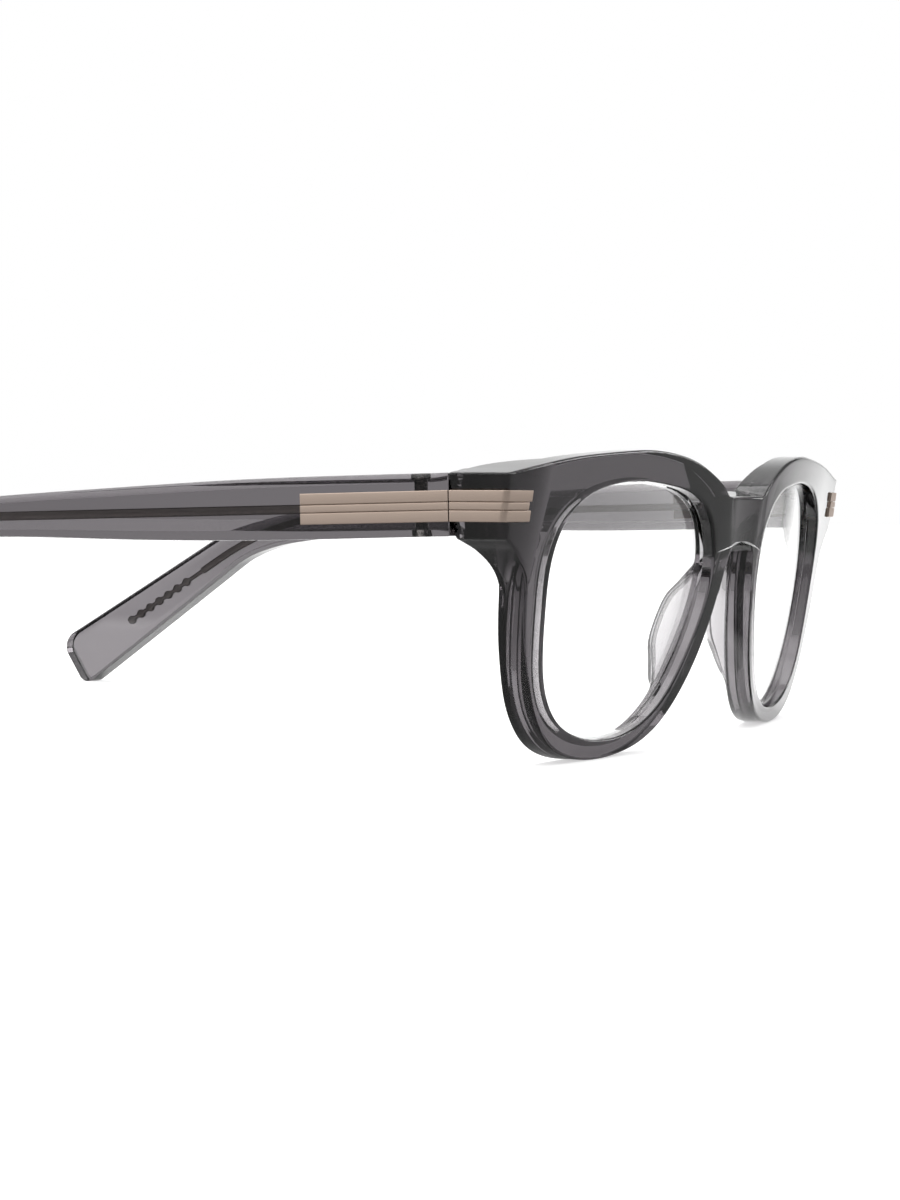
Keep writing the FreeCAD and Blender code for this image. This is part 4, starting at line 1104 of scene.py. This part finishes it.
def bar_profile(low, high, floor, top, radius):
    """Closed loop (height, proud) of a bar with its two outer edges rounded."""
    left = arc_points(np.array([low + radius, top - radius]), radius, math.pi, math.pi / 2, BAR_ROUND_POINTS)
    right = arc_points(np.array([high - radius, top - radius]), radius, math.pi / 2, 0, BAR_ROUND_POINTS)
    return np.vstack([[(low, floor)], left, right, [(high, floor)]])


CHANNEL = TRIM_HALF - TRIM_BAR
PLATE_AND_BARS = [bar_profile(-TRIM_HALF, TRIM_HALF, -TRIM_INLAY, PLATE_TOP, PLATE_ROUND)]
PLATE_AND_BARS += [bar_profile(low, low + TRIM_BAR, -TRIM_INLAY / 2, TRIM_PROUD, BAR_ROUND)
                   for low in (-TRIM_HALF, CHANNEL)]
CENTRE_BAR = [bar_profile(-CHANNEL + TRIM_GROOVE, CHANNEL - TRIM_GROOVE, -TRIM_INLAY / 2, TRIM_PROUD,
                          BAR_ROUND)]
print("a trim is", 2 * TRIM_HALF, "mm high and stands", TRIM_PROUD, "mm proud of the acetate")

# %% [markdown]
# A bar is its profile carried along a path, with a flat end drawn in to one point at each side.
# The plate and its two outer bars are one stamping, so they are one piece. The centre bar is let in
# afterwards and stays apart, which its shorter end on the front shows.

# %% Trims
def swept(profile, path):
    """Grid of a profile along a path, closed by its two flat ends drawn in to their middles."""
    rows = np.array([path(height, proud) for height, proud in profile])
    ends = rows.mean(0)
    first = np.broadcast_to(ends[:1], (len(rows), 3))[:, None]
    last = np.broadcast_to(ends[-1:], (len(rows), 3))[:, None]
    return np.concatenate([first, rows, last], axis=1)


def swept_piece(name, profiles, path, body, nodes, mirror):
    """One piece of all profiles along the same path."""
    points, faces, first = [], [], 0
    for profile in profiles:
        grid = swept(profile, path)
        points.append(grid.reshape(-1, 3))
        faces.append(grid_faces(grid.shape[0], grid.shape[1], True, False) + first)
        first += grid.shape[0] * grid.shape[1]
    return make_piece(name, np.vstack(points), np.vstack(faces), champagne, body, nodes,
                      mirror=mirror, sharp=BAR_SHARP_ANGLE)


for side, mirror in SIDES:
    swept_piece("temple_trim_finish_" + side, PLATE_AND_BARS, arm_path, "temple_" + side,
                ("temple_trim_" + side, "temple_trim_pins_" + side), mirror)
    swept_piece("temple_bar_finish_" + side, CENTRE_BAR, arm_path, "temple_" + side,
                ("temple_trim_bar_" + side,), mirror)
    swept_piece("front_trim_finish_" + side, PLATE_AND_BARS, plate_path, "front",
                ("front_trim_" + side, "front_trim_pins_" + side), mirror)
    swept_piece("front_bar_finish_" + side, CENTRE_BAR, centre_path, "front",
                ("front_trim_bar_" + side,), mirror)

# %% [markdown]
# The hinge is a leaf with its knuckle, a screw, a flanged nut and two washers, all turned or milled.
# They could be modelled again, but hardly more than their edges show, and their solids have the right shape.
# So each is a copy of the solid whose loose triangles are merged and whose round sides are shaded smooth.

# %% Hinge parts
slots = {entry["node"]: entry["material_slot"] for entry in frame["record"]["subparts"]}


def smooth_copy(node, body):
    """Merged copy of a node's loose triangles, smooth across edges that turn by less than the angle."""
    mesh = frame["nodes"][node].data.copy()
    work = bmesh.new()
    work.from_mesh(mesh)
    bmesh.ops.remove_doubles(work, verts=work.verts, dist=MERGE_DISTANCE * MM)
    work.to_mesh(mesh)
    work.free()
    mesh.materials.clear()
    piece = dress(node + "_finish", mesh, FINISHES[slots[node]], body, (node,),
                  HINGE_SHARP_ANGLE)
    print(piece.name, "faces", len(mesh.polygons))
    return piece


for side, _ in SIDES:
    smooth_copy("hinge_leaf_" + side, "front")
    for part in ("hinge_screw_", "hinge_nut_", "hinge_washers_"):
        smooth_copy(part + side, "temple_" + side)

# %% [markdown]
# The glasses stand on white paper in a bright studio. Everything behind them is white.
# The wall on the camera's side is dark, so that the acetate's faces keep their grey and show clean edges.
# Real cards and walls could be stood round the glasses, but they would show in other views.
# A function of the direction alone gives the mirrored rays the same light and dark parts.

# %% Brightness of the studio
DARK_SIDE = (-0.47, -0.88, 0.0)
SKY_LEVEL, SOFTBOX_LEVEL, FADE_LEVEL, EDGE_LEVEL, DARK_LEVEL = 1.0, 1.4, 0.7, 0.12, 0.3
STUDIO_STOPS = [(0.0, SKY_LEVEL), (0.24, SKY_LEVEL), (0.262, SOFTBOX_LEVEL), (0.290, FADE_LEVEL),
                (0.312, EDGE_LEVEL), (0.36, DARK_LEVEL), (1.0, DARK_LEVEL)]
CEILING_START, CEILING_FULL = 0.45, 0.75


def studio_level(tree, direction):
    """Brightness of the studio in a direction: a light sky, one softbox, then dark towards the dark side."""
    toward = add_node(tree, "ShaderNodeVectorMath", {0: direction, 1: DARK_SIDE}, operation="DOT_PRODUCT")
    share = add_node(tree, "ShaderNodeMapRange", {"Value": toward.outputs["Value"], "From Min": -1.0})
    ramp = add_node(tree, "ShaderNodeValToRGB", {"Fac": share.outputs["Result"]})
    stops = ramp.color_ramp.elements
    while len(stops) < len(STUDIO_STOPS):
        stops.new(0.5)
    for stop, (position, level) in zip(stops, STUDIO_STOPS):
        stop.position = position
        stop.color = (level, level, level, 1)
    parts = add_node(tree, "ShaderNodeSeparateXYZ", {"Vector": direction})
    up = add_node(tree, "ShaderNodeMapRange",
                  {"Value": parts.outputs["Z"], "From Min": CEILING_START, "From Max": CEILING_FULL})
    level = add_node(tree, "ShaderNodeMix",
                     {"Factor": up.outputs["Result"], "A": ramp.outputs["Color"], "B": SKY_LEVEL})
    return level.outputs["Result"]


print("studio levels", [level for _, level in STUDIO_STOPS])

# %% [markdown]
# The paper under the glasses is matt and white, and it keeps their soft shadow.
# More lamps could make it white in the picture, but they would wash the glasses out.
# Instead it glows a little for the camera and for rays that went through the clear parts,
# and only for mirrored rays does it take the studio's level in their direction.

# %% Floor
FLOOR_GLOW, FLOOR_HALF, PAPER_WHITE = 0.5, 3.0, "#f6f6f6"
FRONT_PLACE = (0.0, -0.08, 0.02)


def paper_material():
    """Matt paper plus its glow. Mirrored rays are those flagged glossy but not transmitted."""
    material, tree = new_material("white paper sweep")
    path = add_node(tree, "ShaderNodeLightPath")
    place = add_node(tree, "ShaderNodeTexCoord")
    from_front = add_node(tree, "ShaderNodeVectorMath", {0: place.outputs["Object"], 1: FRONT_PLACE},
                          operation="SUBTRACT")
    away = add_node(tree, "ShaderNodeVectorMath", {0: from_front.outputs["Vector"]}, operation="NORMALIZE")
    mirrored = add_node(tree, "ShaderNodeMath",
                        {0: path.outputs["Is Glossy Ray"], 1: path.outputs["Is Transmission Ray"]},
                        operation="SUBTRACT", use_clamp=True)
    tint = add_node(tree, "ShaderNodeMix", {"Factor": mirrored.outputs["Value"], "A": 1.0,
                                            "B": studio_level(tree, away.outputs["Vector"])})
    through = add_node(tree, "ShaderNodeMath",
                       {0: path.outputs["Is Glossy Ray"], 1: path.outputs["Is Transmission Ray"]},
                       operation="MAXIMUM")
    seen = add_node(tree, "ShaderNodeMath",
                    {0: path.outputs["Is Camera Ray"], 1: through.outputs["Value"]}, operation="MAXIMUM")
    glow = add_node(tree, "ShaderNodeMath", {0: seen.outputs["Value"], 1: FLOOR_GLOW}, operation="MULTIPLY")
    strength = add_node(tree, "ShaderNodeMath", {0: glow.outputs["Value"], 1: tint.outputs["Result"]},
                        operation="MULTIPLY")
    shade = add_node(tree, "ShaderNodeVectorMath",
                     {0: linear(PAPER_WHITE)[:3], "Scale": tint.outputs["Result"]}, operation="SCALE")
    paper = add_node(tree, "ShaderNodeBsdfDiffuse", {"Color": shade.outputs["Vector"]})
    light = add_node(tree, "ShaderNodeEmission",
                     {"Color": (1, 1, 1, 1), "Strength": strength.outputs["Value"]})
    both = add_node(tree, "ShaderNodeAddShader", {0: paper.outputs["BSDF"], 1: light.outputs["Emission"]})
    finish_material(tree, both.outputs["Shader"])
    return material


def plain_floor():
    """One flat square under the glasses, covered in the paper material."""
    corners = [(x * FLOOR_HALF, y * FLOOR_HALF, 0) for x, y in ((-1, -1), (1, -1), (1, 1), (-1, 1))]
    mesh = bpy.data.meshes.new("floor")
    mesh.from_pydata(corners, [], [(0, 1, 2, 3)])
    mesh.materials.append(paper_material())
    floor = new_object("floor", mesh)
    return floor


print("stage:", plain_floor().name, 2 * FLOOR_HALF, "m wide")

# %% [markdown]
# Behind the paper the picture is plain white, as after a studio shot is cut out.
# A white wall could stand there, but from other sides it would end somewhere. The world never ends:
# it is white for the camera, and the studio's level for every other ray.

# %% World
def studio_world():
    """White for the camera, the studio's level for every other ray."""
    world = bpy.data.worlds.new("studio")
    bpy.context.scene.world = world
    world.use_nodes = True
    tree = world.node_tree
    tree.nodes.clear()
    path = add_node(tree, "ShaderNodeLightPath")
    place = add_node(tree, "ShaderNodeTexCoord")
    level = studio_level(tree, place.outputs["Generated"])
    strength = add_node(tree, "ShaderNodeMix", {"Factor": path.outputs["Is Camera Ray"], "A": level, "B": 1.0})
    background = add_node(tree, "ShaderNodeBackground",
                          {"Color": (1, 1, 1, 1), "Strength": strength.outputs["Result"]})
    add_node(tree, "ShaderNodeOutputWorld", {"Surface": background.outputs["Background"]})
    return world


print("world", studio_world().name)

# %% [markdown]
# Three softboxes light the glasses: a large one above, one at the side and a small one in front.
# A sun lamp would be simpler, but it draws hard shadows and small glints. Large area lamps give
# the soft shadow on the paper and the broad light bands on the polish.

# %% Lamps
SOFTBOXES = [("top_softbox", (0.1, 0.1, 0.9), (0.8, 0.8), 3.5),
             ("side_softbox", (-0.7, 0.33, 0.5), (0.8, 0.8), 2.2),
             ("front_softbox", (0.75, -0.65, 0.27), (0.4, 0.35), 1.6)]


def softbox(name, place, size, power):
    """Rectangular area lamp, in metres and watts, aimed at the middle of the glasses."""
    data = bpy.data.lights.new(name, "AREA")
    data.shape = "RECTANGLE"
    data.size, data.size_y = size
    data.energy = power
    lamp = new_object(name, data)
    lamp.location = place
    lamp.rotation_euler = (-Vector(place)).to_track_quat("-Z", "Y").to_euler()
    return lamp


for settings in SOFTBOXES:
    print("lamp", softbox(*settings).name)

# %% [markdown]
# The camera stands where the photo's stood. It could be placed by eye. Here its place, direction and
# focal length were fitted to points of the glasses, so that a render lies right over the photo.

# %% Camera
CAMERA_PLACE = np.array([-386.8, -219.05, 36.14]) * MM
CAMERA_FORWARD = np.array([0.90018791, 0.43385252, -0.03786458])
CAMERA_ROLL = math.radians(0.255)
FOCAL_PIXELS, IMAGE_HEIGHT, SENSOR = 2779.0, 1200.0, 36.0


def photo_camera():
    """Camera whose axes are the forward direction, the level one beside it and their normal, then rolled."""
    data = bpy.data.cameras.new("camera")
    data.sensor_fit = "AUTO"
    data.sensor_width = SENSOR
    data.lens = FOCAL_PIXELS / IMAGE_HEIGHT * SENSOR
    data.clip_start = 0.01
    data.clip_end = 20
    camera = new_object("camera", data)
    forward = CAMERA_FORWARD / np.linalg.norm(CAMERA_FORWARD)
    level = np.cross(forward, (0, 0, 1))
    level /= np.linalg.norm(level)
    upright = np.cross(level, forward)
    right = level * math.cos(CAMERA_ROLL) + upright * math.sin(CAMERA_ROLL)
    up = np.cross(right, forward)
    rows = [[right[i], up[i], -forward[i], CAMERA_PLACE[i]] for i in range(3)]
    camera.matrix_world = Matrix(rows + [[0, 0, 0, 1]])
    bpy.context.scene.camera = camera
    return camera


print("camera with a lens of", round(photo_camera().data.lens, 1), "mm")
bpy.context.scene.view_settings.view_transform = "Standard"
